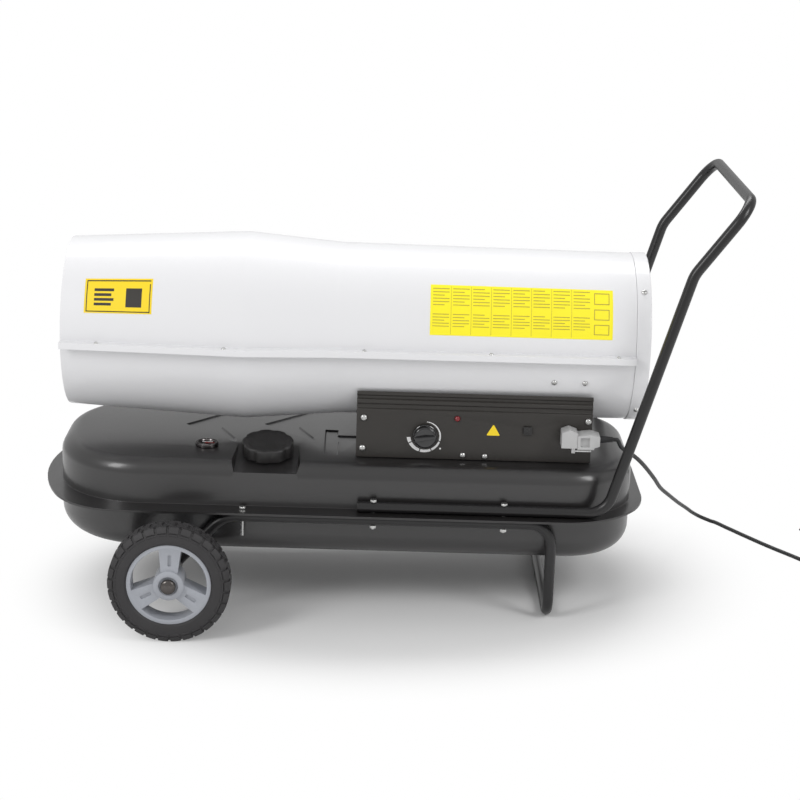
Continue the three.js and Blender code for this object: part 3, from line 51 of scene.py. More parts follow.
# Sizes, in millimetres
GAP = 0.3
SHEET = 1.6
TANK_LENGTH, TANK_WIDTH, FRONT_CORNER, REAR_CORNER = 974, 366, 150, 115
TANK_TOP, TANK_BOTTOM, FLANGE_Z = 276, 116, 200
TOP_RIM, BOTTOM_RIM = 26, 40
FLANGE_LENGTH, FLANGE_WIDTH = 1016, 442
FLANGE_FRONT_CORNER, FLANGE_REAR_CORNER = 130, 150
FLANGE_BULGE, FLANGE_END_RADIUS, FLANGE_FILLET = 8, 346, 7
FLANGE_TOP = FLANGE_Z + GAP / 2 + SHEET
FLANGE_BOTTOM = FLANGE_Z - GAP / 2 - SHEET

FILLER_X, FILLER_Y, FILLER_TILT = -130, -112, radians(9)
BAY_WIDTH, BAY_BACK, BAY_DEPTH, BAY_FLARE = 104, -80, 34, 20
NECK_RADIUS = 30
GAUGE_X, GAUGE_Y, GAUGE_RADIUS = -234, -93, 19.5

AXLE_X, WHEEL_RADIUS, WHEEL_Y = -278, 100, 272
TYRE_WIDTH, RIM_RADIUS, RIM_LIP, HUB_RADIUS, HUB_WIDTH, AXLE_RADIUS = 42, 69, 7, 25, 46, 7

TUBE_RADIUS = 9
RAIL_Y, RAIL_START, RAIL_END = 197, 25, 434
RAIL_Z = FLANGE_TOP + GAP + TUBE_RADIUS
FRAME_Z = FLANGE_BOTTOM - GAP - TUBE_RADIUS
KNEE_Z, GRIP_Z = 619, 737
FRAME_RISE_X, LEG_X, FOOT_Z = -196, 346.5, 27.8

BARREL_Z = 464
BARREL = [(-471, 142.5), (-172, 159), (-14, 145.5), (474, 141.5)]
LEDGE_WIDTH, LIP_DROP = 17, 9
RING_START, RING_LENGTH = 474, 24
GUARD_X = RING_START + RING_LENGTH - 6
LEDGE_SCREWS = [-410, -201, 28, 236, 445]

BOX_START, BOX_END = 18, 410
PANEL_Y, PANEL_LOW, PANEL_FACE_TOP, PANEL_TOP = 135, 277.5, 361, 391
KNOB_X, KNOB_Z, KNOB_RADIUS = 132.5, 317, 20.5
LAMP_X, LAMP_Z, LAMP_RADIUS = 185.5, 348.5, 4.8
SENSOR_X, SENSOR_Z = 303, 331
INLET_X, INLET_Z, INLET_WIDTH, INLET_HEIGHT = 358, 327.5, 26, 31
CONNECTOR_X, CONNECTOR_LENGTH, RELIEF_LENGTH = 384.3, 37, 22
CORD_Y, CORD_Z, CORD_RADIUS = -150, 325, 3.5

WELD, LEVEL_SLACK = 0.002, 0.01
SIDES = ((-1, "near"), (1, "far"))

# Where the heater stands
axle_at = Vector(JOINTS["wheel_near_spin"]["pos_m"])
fan_axis = Vector(JOINTS["fan_spin"]["axis"])
lean = atan2(-fan_axis.z, fan_axis.x)
to_axle = Matrix.Scale(0.001, 4) @ Matrix.Translation((-AXLE_X, 0, -WHEEL_RADIUS))
from_axle = Matrix.Translation((axle_at.x, 0, axle_at.z))
LEVEL = from_axle @ to_axle
STANCE = from_axle @ Matrix.Rotation(lean, 4, "Y") @ to_axle
METRES = Matrix.Scale(0.001, 4)
seat_z = TANK_TOP - (BAY_BACK - FILLER_Y) * tan(FILLER_TILT)
FILLER = Matrix.Translation((FILLER_X, FILLER_Y, seat_z)) @ Matrix.Rotation(FILLER_TILT, 4, "X")


def barrel_radius(x):
    """The casing's outer radius at a place along the barrel."""
    for (x0, r0), (x1, r1) in zip(BARREL, BARREL[1:]):
        if x <= x1:
            return r0 + (r1 - r0) * (x - x0) / (x1 - x0)
    return BARREL[-1][1]


# Camera, floor and light
LENS, SENSOR, LOOKS_DOWN = 87.667, 36, 17.02
CAMERA_PAST_AXLE, CAMERA_Y, CAMERA_Z = 0.3754, -3.2206, 1.3113
WORLD_LIGHT, FLOOR_SIZE, FLOOR_TONE = 0.64, 14, 0.82
SHADOW_KEPT, SHADOW_GONE, SHADOW_STRETCH = 0.4, 0.68, 1.3
LIGHTS = {
    "left_box": ((-1.9, -1.7, 1.9), (-0.2, 0, 0.3), (0.7, 1.3), 22),
    "right_box": ((1.9, -1.5, 1.9), (0.2, 0, 0.3), (0.7, 1.3), 20),
    "top_box": ((0, 1.15, 2.5), (0, 0, 0.1), (2.2, 0.9), 27),
}


def added(name, data, at=(0, 0, 0), turn=(0, 0, 0)):
    """A new object in the scene."""
    obj = bpy.data.objects.new(name, data)
    obj.location, obj.rotation_euler = at, turn
    bpy.context.scene.collection.objects.link(obj)
    return obj


def fill(node, **values):
    """Sets the values of a shader node's sockets."""
    for socket, value in values.items():
        node.inputs[socket.replace("_", " ")].default_value = value
    return node


def add(tree, kind, **values):
    """A new shader node with the values of its sockets."""
    return fill(tree.nodes.new("ShaderNode" + kind), **values)


def wire(tree, *wires):
    """Links shader nodes. A wire is a node, its output, the next node and its input."""
    for start, output, end, socket in wires:
        tree.links.new(start.outputs[output], end.inputs[socket])


def new_material(name):
    """A material with its node tree and its main shader."""
    material = bpy.data.materials.new(name)
    material.use_nodes = True
    return material, material.node_tree, material.node_tree.nodes["Principled BSDF"]


def set_camera():
    camera = bpy.data.cameras.new("camera")
    camera.lens = LENS
    camera.sensor_width = SENSOR
    camera.clip_end = 50
    at = (axle_at.x + CAMERA_PAST_AXLE, CAMERA_Y, CAMERA_Z)
    bpy.context.scene.camera = added("camera", camera, at, (radians(90 - LOOKS_DOWN), 0, 0))


def area_light(name, at, toward, size, power):
    light = bpy.data.lights.new(name, "AREA")
    light.shape = "RECTANGLE"
    light.size, light.size_y = size
    light.energy = power
    added(name, light, at, (Vector(toward) - Vector(at)).to_track_quat("-Z", "Y").to_euler())


def set_world():
    """White where the camera looks at it or through glass, and dimmer as a light."""
    world = bpy.data.worlds.new("studio")
    world.use_nodes = True
    tree = world.node_tree
    background = fill(tree.nodes["Background"], Color=(1, 1, 1, 1))
    path = add(tree, "LightPath")
    seen = add(tree, "Math")
    seen.operation = "MAXIMUM"
    level = add(tree, "MapRange", To_Min=WORLD_LIGHT, To_Max=1.0)
    wire(tree, (path, "Is Camera Ray", seen, 0), (path, "Is Transmission Ray", seen, 1),
         (seen, 0, level, "Value"), (level, 0, background, "Strength"))
    bpy.context.scene.world = world


def lay_floor():
    """A pale floor that keeps the shadow near the heater and fades to plain white around it."""
    bpy.ops.mesh.primitive_plane_add(size=FLOOR_SIZE)
    floor = bpy.context.object
    floor.name = "floor"
    material, tree, shader = new_material("pale_floor")
    fill(shader, Base_Color=(*[FLOOR_TONE] * 3, 1), Roughness=0.9, Specular_IOR_Level=0.0)
    white = add(tree, "Emission")
    mix = add(tree, "MixShader")
    place = add(tree, "TexCoord")
    stretch = add(tree, "Mapping", Scale=(1.0, SHADOW_STRETCH, 1.0))
    away = add(tree, "VectorMath")
    away.operation = "LENGTH"
    fade = add(tree, "MapRange", From_Min=SHADOW_KEPT, From_Max=SHADOW_GONE)
    fade.interpolation_type = "SMOOTHSTEP"
    path = add(tree, "LightPath")
    seen = add(tree, "Math")
    seen.operation = "MULTIPLY"
    wire(tree, (place, "Object", stretch, "Vector"), (stretch, "Vector", away, 0),
         (away, "Value", fade, "Value"), (fade, "Result", seen, 0), (path, "Is Camera Ray", seen, 1),
         (seen, 0, mix, "Fac"), (shader, "BSDF", mix, 1), (white, "Emission", mix, 2),
         (mix, "Shader", tree.nodes["Material Output"], "Surface"))
    floor.data.materials.append(material)


# Finishes
TANK_COAT = {"Specular_IOR_Level": 0.75, "Coat_Weight": 0.35, "Coat_Roughness": 0.12}
LENS_GLOW = {"Coat_Weight": 0.5, "Subsurface_Weight": 0.2}
# colour, roughness, metallic, drift of tone and its scale, grain and its scale, relief, the rest
LOOKS = {
    "tank_paint": ((0.0145, 0.0135, 0.0138), 0.33, 0, 0.14, 3, 0.15, 420, 0.08, TANK_COAT),
    "tube_paint": ((0.0095, 0.009, 0.0095), 0.3, 0, 0.2, 8, 0.15, 900, 0.12, {"Specular_IOR_Level": 0.55}),
    "panel_paint": ((0.03, 0.027, 0.024), 0.42, 0.1, 0.1, 14, 0.3, 1600, 0.5),
    "white_paint": ((0.775, 0.775, 0.79), 0.38, 0, 0.015, 3, 0.15, 320, 0.06,
                    {"Coat_Weight": 0.4, "Coat_Roughness": 0.08}),
    "zinc_steel": ((0.62, 0.62, 0.61), 0.28, 1, 0.12, 90, 0.4, 500, 0.25),
    "gauge_chrome": ((0.16, 0.15, 0.15), 0.24, 1, 0.04, 5, 0.5, 200, 0.03),
    "needle_red": ((0.2, 0.02, 0.02), 0.45, 0, 0.08, 5),
    "brass": ((0.66, 0.47, 0.2), 0.3, 1, 0.15, 40, 0.4),
    "ceramic": ((0.8, 0.76, 0.68), 0.2, 0, 0.05, 60, 0.15, 700, 0.15, {"Coat_Weight": 0.6}),
    "fan_aluminium": ((0.62, 0.63, 0.64), 0.34, 1, 0.08, 20, 0.35, 240, 0.2, None, (1, 1, 6)),
    "machine_steel": ((0.44, 0.44, 0.45), 0.36, 1, 0.12, 20, 0.35, 260, 0.2, None, (8, 1, 1)),
    "motor_casting": ((0.46, 0.47, 0.48), 0.5, 0.8, 0.1, 25, 0.4, 450, 0.7),
    "tyre_rubber": ((0.029, 0.0275, 0.029), 0.58, 0, 0.25, 22, 0.25, 1100, 0.5),
    "wheel_grey": ((0.355, 0.37, 0.405), 0.42, 0, 0.04, 12, 0.25, 1300, 0.25),
    "black_plastic": ((0.021, 0.020, 0.020), 0.42, 0, 0.15, 30, 0.3, 1500, 0.4),
    "red_lens": ((0.2, 0.006, 0.012), 0.1, 0, 0.1, 120, 0.15, 700, 0.15, LENS_GLOW),
    "pale_grey_plastic": ((0.47, 0.47, 0.47), 0.42, 0, 0.05, 40, 0.3, 1400, 0.3),
    "latch_steel": ((0.6, 0.6, 0.6), 0.3, 1, 0.1, 60, 0.4),
    "cord_black": ((0.014, 0.014, 0.015), 0.45, 0, 0.2, 15, 0.3, 900, 0.3),
    "label_yellow": ((0.93, 0.68, 0.012), 0.38, 0, 0.03, 10, 0.15, 1500, 0.08),
    "label_lemon": ((0.97, 0.86, 0.02), 0.38, 0, 0.03, 10, 0.15, 1500, 0.08),
    "knob_gloss": ((0.012, 0.012, 0.013), 0.13, 0, 0.1, 5, 0.15, 700, 0.05,
                   {"Coat_Weight": 0.6, "Coat_Roughness": 0.06}),
    "dark_steel": ((0.11, 0.1, 0.095), 0.24, 0.85, 0.15, 60, 0.4),
    "label_black": ((0.025, 0.022, 0.018), 0.4, 0, 0.15, 5),
    "label_grey": ((0.42, 0.33, 0.05), 0.42, 0, 0.15, 5),
    "print_white": ((0.8, 0.8, 0.8), 0.5, 0, 0.04, 5),
}


def surface(name, colour, roughness, metallic, drift, drift_scale, grain=0.15, grain_scale=700,
            relief=0.15, sockets=None, stretch=(1, 1, 1)):
    """A material whose tone drifts slowly and whose gloss and relief carry a fine grain."""
    material, tree, shader = new_material(name)
    fill(shader, Metallic=metallic, **(sockets or {}))
    place = add(tree, "TexCoord")
    turn = add(tree, "Mapping", Scale=stretch)
    cloud = add(tree, "TexNoise", Scale=drift_scale, Detail=4)
    tone = add(tree, "Mix")
    tone.data_type = "RGBA"
    fill(tone, A=(*(c * (1 - drift) for c in colour), 1),
         B=(*(min(1, c * (1 + drift)) for c in colour), 1))
    speck = add(tree, "TexNoise", Scale=grain_scale, Detail=2)
    gloss = add(tree, "MapRange", To_Min=max(0.02, roughness * (1 - grain)),
                To_Max=min(1, roughness * (1 + grain)))
    bump = add(tree, "Bump", Strength=relief, Distance=0.0004)
    wire(tree, (place, "Object", turn, "Vector"), (turn, "Vector", cloud, "Vector"),
         (cloud, "Fac", tone, "Factor"), (tone, "Result", shader, "Base Color"),
         (turn, "Vector", speck, "Vector"), (speck, "Fac", gloss, "Value"),
         (gloss, "Result", shader, "Roughness"), (speck, "Fac", bump, "Height"),
         (bump, "Normal", shader, "Normal"))
    return material


def heat_tinted(name, colour, blue, roughness):
    """Heat-resisting sheet, straw and blue where the flame has run it hot."""
    material = surface(name, colour, roughness, 0.9, 0.2, 5, 0.3, 260)
    tree = material.node_tree
    place = add(tree, "TexCoord")
    cloud = add(tree, "TexNoise", Scale=9, Detail=5)
    ramp = add(tree, "ValToRGB")
    plain, hot = ramp.color_ramp.elements
    plain.position, plain.color = 0.38, (*colour, 1)
    hot.position, hot.color = 0.72, (*blue, 1)
    straw = ramp.color_ramp.elements.new(0.55)
    straw.color = (colour[0] * 1.3, colour[1] * 1.05, colour[2] * 0.7, 1)
    wire(tree, (place, "Object", cloud, "Vector"), (cloud, "Fac", ramp, "Fac"),
         (ramp, "Color", tree.nodes["Principled BSDF"], "Base Color"))
    return material


def circuit_board(name, colour, track):
    """Lacquered board with rows of lighter tracks."""
    material = surface(name, colour, 0.35, 0, 0.1, 5)
    tree = material.node_tree
    place = add(tree, "TexCoord")
    turn = add(tree, "Mapping", Rotation=(radians(90), 0, 0))
    brick = add(tree, "TexBrick", Scale=60, Mortar_Size=0.03, Color1=(*colour, 1),
                Color2=(*(0.8 * c for c in colour), 1), Mortar=(*track, 1))
    wire(tree, (place, "Object", turn, "Vector"), (turn, "Vector", brick, "Vector"),
         (brick, "Color", tree.nodes["Principled BSDF"], "Base Color"))
    return material


def make_finishes():
    """The materials by their names."""
    finishes = {name: surface(name, *look) for name, look in LOOKS.items()}
    finishes["heat_steel"] = heat_tinted("heat_steel", (0.36, 0.33, 0.30), (0.16, 0.18, 0.27), 0.42)
    finishes["board_green"] = circuit_board("board_green", (0.03, 0.13, 0.06), (0.25, 0.32, 0.12))
    return finishes


# The bench
def alone(obj):
    """Selects obj and nothing else."""
    bpy.ops.object.select_all(action="DESELECT")
    obj.select_set(True)
    bpy.context.view_layer.objects.active = obj


def edit(obj):
    """Opens obj in edit mode."""
    alone(obj)
    bpy.ops.object.mode_set(mode="EDIT")


def leave():
    """Leaves edit mode."""
    bpy.ops.object.mode_set(mode="OBJECT")


def middle(item):
    """The middle of an edge or a face."""
    return sum((v.co for v in item.verts), Vector()) / len(item.verts)


def pick(obj, kind, test):
    """In edit mode, selects the vertices, edges or faces that pass a test."""
    bpy.ops.mesh.select_mode(type=kind)
    bpy.ops.mesh.select_all(action="DESELECT")
    grid = bmesh.from_edit_mesh(obj.data)
    items = {"VERT": grid.verts, "EDGE": grid.edges, "FACE": grid.faces}[kind]
    items.index_update()
    for item in [item for item in items if test(item)]:
        item.select_set(True)
    bmesh.update_edit_mesh(obj.data)


def close_up():
    """Welds what meets, turns all faces outwards and leaves edit mode."""
    bpy.ops.mesh.select_all(action="SELECT")
    bpy.ops.mesh.remove_doubles(threshold=WELD)
    bpy.ops.mesh.normals_make_consistent(inside=False)
    leave()


def sheet_out(obj, thickness, *way):
    """Leaves edit mode with an open sheet's face turned that way and a thickness behind it."""
    bpy.ops.mesh.select_all(action="SELECT")
    bpy.ops.mesh.normals_make_consistent(inside=False)
    grid = bmesh.from_edit_mesh(obj.data)
    outermost = max(grid.faces, key=lambda face: middle(face).dot(Vector(way)))
    if outermost.normal.dot(Vector(way)) < 0:
        bpy.ops.mesh.flip_normals()
    leave()
    return modified(obj, "SOLIDIFY", thickness=thickness, offset=-1, use_even_offset=True)


def lies_at(item, z):
    """Whether all of an edge or a face lies at one height."""
    return all(abs(v.co.z - z) < LEVEL_SLACK for v in item.verts)


def bevel(offset, segments, clamp=False):
    """In edit mode, rounds the selected edges."""
    bpy.ops.mesh.bevel(offset=offset, segments=segments, affect="EDGES", clamp_overlap=clamp)


def draw_out(*step):
    """In edit mode, draws the selected edges out to new faces."""
    bpy.ops.mesh.extrude_edges_move(TRANSFORM_OT_translate={"value": step})


def traced(name, points, closed):
    """A line traced point by point, left in edit mode with all of it selected."""
    bpy.ops.mesh.primitive_plane_add(size=1)
    obj = bpy.context.object
    obj.name = name
    bpy.ops.object.mode_set(mode="EDIT")
    bpy.ops.mesh.select_mode(type="VERT")
    bpy.ops.mesh.merge(type="CENTER")
    bpy.ops.transform.translate(value=points[0])
    for before, after in zip(points, points[1:]):
        step = {"value": Vector(after) - Vector(before)}
        bpy.ops.mesh.extrude_vertices_move(TRANSFORM_OT_translate=step)
    if closed:
        ends = (0, len(points) - 1)
        pick(obj, "VERT", lambda vertex: vertex.index in ends)
        bpy.ops.mesh.edge_face_add()
    bpy.ops.mesh.select_all(action="SELECT")
    return obj


def bent(corners, step=7):
    """Straight runs with round bends. A corner is x, y, z and the radius of its bend."""
    points = [Vector(corner[:3]) for corner in corners]
    line = [points[0]]
    for before, corner, after, (*_, radius) in zip(points, points[1:], points[2:], corners[1:]):
        into, out = (corner - before).normalized(), (after - corner).normalized()
        turn = into.angle(out)
        if radius == 0 or turn < 0.01:
            line.append(corner)
            continue
        axis = into.cross(out).normalized()
        start = corner - into * radius * tan(turn / 2)
        centre = start + axis.cross(into) * radius
        count = max(2, round(degrees(turn) / step))
        for k in range(count + 1):
            line.append(centre + Matrix.Rotation(turn * k / count, 3, axis) @ (start - centre))
    return [*line, points[-1]]


def soft(points, radius, step=22):
    """An open flat line with its corners rounded."""
    return [(p.x, p.y) for p in bent([(a, b, 0, radius) for a, b in points], step)]


def rounded(outline, radius, step=15):
    """A closed flat outline with its corners rounded."""
    corners = [(a, b, 0, radius) for a, b in outline]
    line = bent([corners[-1], *corners, corners[0]], step)[1:-1]
    return [(p.x, p.y) for p in line]


def around(x, y, radius, angle):
    """A place on a circle, by its angle in degrees."""
    return x + radius * cos(radians(angle)), y + radius * sin(radians(angle))


AXES = {"X": Vector((1, 0, 0)), "Y": Vector((0, 1, 0)), "Z": Vector((0, 0, 1))}


def turned(name, profile, axis, at=(0, 0, 0), steps=48, closed=False):
    """A round piece: radius and along points traced beside an axis and spun about it."""
    out = AXES["X"] if axis == "Z" else AXES["Z"]
    line = [Vector(at) + out * radius + AXES[axis] * along for radius, along in profile]
    obj = traced(name, line, closed)
    bpy.ops.mesh.spin(steps=steps, angle=2 * pi, center=at, axis=AXES[axis])
    close_up()
    return obj


def plate(name, outline, axis, low, high):
    """A flat outline standing along Y or Z from one place to another."""
    obj = traced(name, [(a, low, b) if axis == "Y" else (a, b, low) for a, b in outline], True)
    bpy.ops.mesh.edge_face_add()
    bpy.ops.mesh.extrude_region_move(TRANSFORM_OT_translate={"value": AXES[axis] * (high - low)})
    close_up()
    return obj


def block(name, low, high):
    """A box between two corners."""
    low, high = Vector(low), Vector(high)
    bpy.ops.mesh.primitive_cube_add(size=1, location=(low + high) / 2, scale=high - low)
    obj = bpy.context.object
    obj.name = name
    bpy.ops.object.transform_apply(location=True, rotation=True, scale=True)
    return obj


def rod(name, radius, low, high, axis, at, sides=32):
    """A plain cylinder for holes, pins and bushes."""
    return turned(name, [(0, low), (radius, low), (radius, high), (0, high)], axis, at, sides)


def move(obj, matrix):
    """Moves obj's mesh by a matrix."""
    obj.data.transform(matrix)
    obj.data.update()
    return obj


def modified(obj, kind, **settings):
    """Adds a modifier to obj and applies it."""
    alone(obj)
    step = obj.modifiers.new("step", kind)
    for setting, value in settings.items():
        setattr(step, setting, value)
    bpy.ops.object.modifier_apply(modifier=step.name)
    return obj


def combine(obj, operation, others):
    """Joins other bodies to obj or cuts them from it."""
    for other in others:
        modified(obj, "BOOLEAN", operation=operation, solver="EXACT", object=other)
        bpy.data.objects.remove(other)
    return obj


def joined(obj, *others):
    return combine(obj, "UNION", others)


def cut(obj, *others):
    return combine(obj, "DIFFERENCE", others)


def together(name, obj, *others):
    """Puts separate bodies in one mesh."""
    obj.name = name
    alone(obj)
    for other in others:
        other.select_set(True)
    bpy.ops.object.join()
    return obj


def soften(obj, width, segments=2, angle=32):
    """Rounds the sharp edges."""
    return modified(obj, "BEVEL", width=width, segments=segments, limit_method="ANGLE",
                    angle_limit=radians(angle), use_clamp_overlap=True)


def round_curve(name, route, radius, resolution):
    """A curve of round section through a line of points."""
    curve = bpy.data.curves.new(name, "CURVE")
    curve.dimensions = "3D"
    curve.bevel_depth = radius
    curve.bevel_resolution = resolution
    curve.use_fill_caps = True
    spline = curve.splines.new("POLY")
    spline.points.add(len(route) - 1)
    for point, at in zip(spline.points, route):
        point.co = (*at, 1)
    return added(name, curve)


def tube(name, route, radius, sides):
    """A round bar along a line of points."""
    alone(round_curve(name, route, radius, sides // 2 - 2))
    bpy.ops.object.convert(target="MESH")
    obj = bpy.context.object
    edit(obj)
    close_up()
    return obj


def settle(obj, slot, *replaced, body="frame", stance=STANCE, smooth=35, finish=None):
    """Sets a finished piece where the heater stands, riding on a body and standing for nodes."""
    move(obj, stance)
    obj.data.name = obj.name
    alone(obj)
    bpy.ops.object.shade_smooth_by_angle(angle=radians(smooth))
    obj.data.materials.clear()
    obj.data.materials.append(FINISHES[finish or slot])
    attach(obj, body)
    if replaced:
        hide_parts(*replaced)
    return obj


def dressed(node, body, slot, width):
    """A copy of a node, merged, with its sharp edges rounded, that stands for the node."""
    obj = copied(NODES[node], f"{node}_fine", Matrix.Scale(1000, 4))
    edit(obj)
    bpy.ops.mesh.select_all(action="SELECT")
    bpy.ops.mesh.remove_doubles(threshold=WELD)
    bpy.ops.mesh.dissolve_limited(angle_limit=radians(1))
    leave()
    soften(obj, width)
    return settle(obj, slot, node, body=body, stance=METRES)


def copied(obj, name, matrix):
    """A copy with its own mesh, placed by a matrix."""
    return move(added(name, obj.data.copy()), matrix)


# Fuel tank
def pan(name, low, high, inset, rim, rim_z):
    """The tank's block, or one inset from it, with round upright corners and one round rim."""
    half_x, half_y = TANK_LENGTH / 2 - inset, TANK_WIDTH / 2 - inset
    obj = block(name, (-half_x, -half_y, low), (half_x, half_y, high))
    edit(obj)
    for end, corner in (-1, FRONT_CORNER), (1, REAR_CORNER):
        pick(obj, "EDGE", lambda edge: (
            edge.verts[0].co.xy == edge.verts[1].co.xy and middle(edge).x * end > 0))
        bevel(corner - inset, 18)
    pick(obj, "EDGE", lambda edge: lies_at(edge, rim_z))
    bevel(rim - inset, 9)
    close_up()
    return obj


def bay_prism(name, back, low, high, wide_low, wide_high):
    """A wedge along the filler bay's slope with flared sides."""
    outline = [(-wide_low / 2, low), (wide_low / 2, low), (wide_high / 2, high), (-wide_high / 2, high)]
    return move(plate(name, outline, "Y", -TANK_WIDTH, back), FILLER)


def flange_plate(low, high):
    """The tank's flange: a wide arc between round corners in front, a straight edge behind."""
    half_x, half_y = FLANGE_LENGTH / 2, FLANGE_WIDTH / 2
    front, rear, arch = FLANGE_FRONT_CORNER, FLANGE_REAR_CORNER, FLANGE_END_RADIUS
    arch_x, front_y = arch - half_x - FLANGE_BULGE, half_y - front
    front_x = arch_x - sqrt((arch - front) ** 2 - front_y ** 2)
    turn = degrees(asin(front_y / (arch - front)))
    arcs = [
        (half_x - rear, half_y - rear, rear, 0, 90),
        (front_x, front_y, front, 90, 180 - turn),
        (arch_x, 0, arch, 180 - turn, 180 + turn),
        (front_x, -front_y, front, 180 + turn, 270),
        (half_x - rear, rear - half_y, rear, 270, 360),
    ]
    outline = []
    for x, y, radius, start, end in arcs:
        steps = round((end - start) / 4)
        for k in range(steps + 1):
            place = around(x, y, radius, start + (end - start) * k / steps)
            if not outline or dist(place, outline[-1]) > GAP:
                outline.append(place)
    return plate("flange", outline, "Z", low, high)


def fillet(obj, at):
    """Fills the inner corner between a pan's wall and the flange with a smooth curve."""
    wall_x, wall_y = TANK_LENGTH / 2 + 1, TANK_WIDTH / 2 + 1
    edit(obj)
    pick(obj, "EDGE", lambda edge: lies_at(edge, at) and all(
        abs(v.co.x) < wall_x and abs(v.co.y) < wall_y for v in edge.verts))
    bevel(FLANGE_FILLET, 5, clamp=True)
    leave()


def tank_form(inset, top):
    """The top pan's body with its filler bay, or what is cut from the inside of it."""
    low = FLANGE_Z - 8 * inset  # the inner body reaches below the flange, to cut right through
    body = pan("tank_form", low, top, inset, TOP_RIM, top)
    back = (BAY_BACK - FILLER_Y) / cos(FILLER_TILT)
    floor_width, clear_width = BAY_WIDTH - 2 * inset, BAY_WIDTH + 2 * inset
    floor = bay_prism("bay_floor", back, -BAY_DEPTH, -inset, floor_width + BAY_FLARE, floor_width)
    fence = block("fence", (-TANK_LENGTH, -TANK_WIDTH / 2 + inset, FLANGE_Z),
                  (TANK_LENGTH, TANK_WIDTH, top))
    combine(floor, "INTERSECT", [fence])
    joined(body, floor)
    clear = bay_prism("bay_clear", back + inset, -inset, TOP_RIM, clear_width, clear_width + BAY_FLARE)
    return cut(body, clear)


PRESSED = [
    [(-170, 145), (-282, 20), (-201, -58), (-184, -70), (-190, -48), (-217, 8), (-168, 120)],
    [(-36, 145), (-146, 32), (-66, -46), (-50, -58), (-56, -36), (-83, 22), (-34, 132)],
    [(-38, 10), (-14, 8), (-14, -20), (22, -20), (22, -50), (-12, -50), (-12, -126), (-36, -126)],
]
PRESS_DEPTH = 2.4
GAUGE_HOLE, DRAIN_HOLE, DRAIN_X = 9.4, 6.4, 300


def pressing(outline):
    """A cutter for a pressed hollow whose walls slope in to a flat floor."""
    obj = plate("pressing", outline, "Z", TANK_TOP - 0.02, TANK_TOP + 1)
    edit(obj)
    pick(obj, "FACE", lambda face: face.normal.z < -0.9)
    bpy.ops.mesh.inset(thickness=PRESS_DEPTH, depth=PRESS_DEPTH)
    leave()
    return obj


def make_tank():
    top = tank_form(0, TANK_TOP)
    cut(top, *[pressing(rounded(outline, 2.5, 30)) for outline in PRESSED])
    joined(top, flange_plate(FLANGE_Z + GAP / 2, FLANGE_TOP))
    fillet(top, FLANGE_TOP)
    cut(top, tank_form(SHEET, TANK_TOP - SHEET - PRESS_DEPTH))
    cut(top, move(rod("neck_hole", NECK_RADIUS + 0.4, -30, 30, "Z", (0, 0, 0), 48), FILLER),
        rod("gauge_hole", GAUGE_HOLE, TANK_TOP - 20, TANK_TOP + 20, "Z", (GAUGE_X, GAUGE_Y, 0)))
    soften(top, 1.3, 3, 24)
    top.name = "tank_top_pan"
    settle(top, "tank_paint", "tank_top", smooth=28)

    bottom = pan("tank_bottom_pan", TANK_BOTTOM, FLANGE_Z - GAP / 2, 0, BOTTOM_RIM, TANK_BOTTOM)
    joined(bottom, flange_plate(FLANGE_BOTTOM, FLANGE_Z - GAP / 2))
    fillet(bottom, FLANGE_BOTTOM)
    floor = TANK_BOTTOM + SHEET
    inside = pan("inside", floor, FLANGE_Z + 10, SHEET, BOTTOM_RIM, floor)
    cut(bottom, inside,
        rod("drain_hole", DRAIN_HOLE, TANK_BOTTOM - 9, TANK_BOTTOM + 9, "Z", (DRAIN_X, 0, 0)))
    soften(bottom, 0.5, 2, 40)
    settle(bottom, "tank_paint", "tank_bottom", smooth=28)


CAP_LOBES, CAP_STEPS, CAP_NOTCH, CAP_RADIUS, CAP_LOW, CAP_HIGH = 9, 14, 2.4, 43.5, 2.6, 23.6
CAP_EDGE, CAP_RIM, CAP_DISH, CAP_BORE_TOP = 3, 5, 1, 17.6


def make_cap():
    """The scalloped fuel cap, with a shallow dish in its top."""
    outline = []
    for k in range(CAP_LOBES * CAP_STEPS):
        notch = CAP_NOTCH * cos(pi * k / CAP_STEPS) ** 6
        outline.append(around(0, 0, CAP_RADIUS - notch, 360 * k / (CAP_LOBES * CAP_STEPS)))
    cap = plate("fuel_cap_scalloped", outline, "Z", CAP_LOW, CAP_HIGH)
    edit(cap)
    pick(cap, "EDGE", lambda edge: lies_at(edge, CAP_HIGH))
    bevel(CAP_EDGE, 4)
    pick(cap, "FACE", lambda face: face.normal.z > 0.99)
    bpy.ops.mesh.inset(thickness=CAP_RIM)
    bpy.ops.mesh.inset(thickness=1.6, depth=-CAP_DISH)
    leave()
    cut(cap, rod("cap_bore", NECK_RADIUS + 1, CAP_LOW - 2, CAP_BORE_TOP, "Z", (0, 0, 0), 48))
    soften(cap, 0.5, 2, 40)
    settle(cap, "black_plastic", "fuel_cap", body="filler_cap", stance=STANCE @ FILLER, smooth=40)


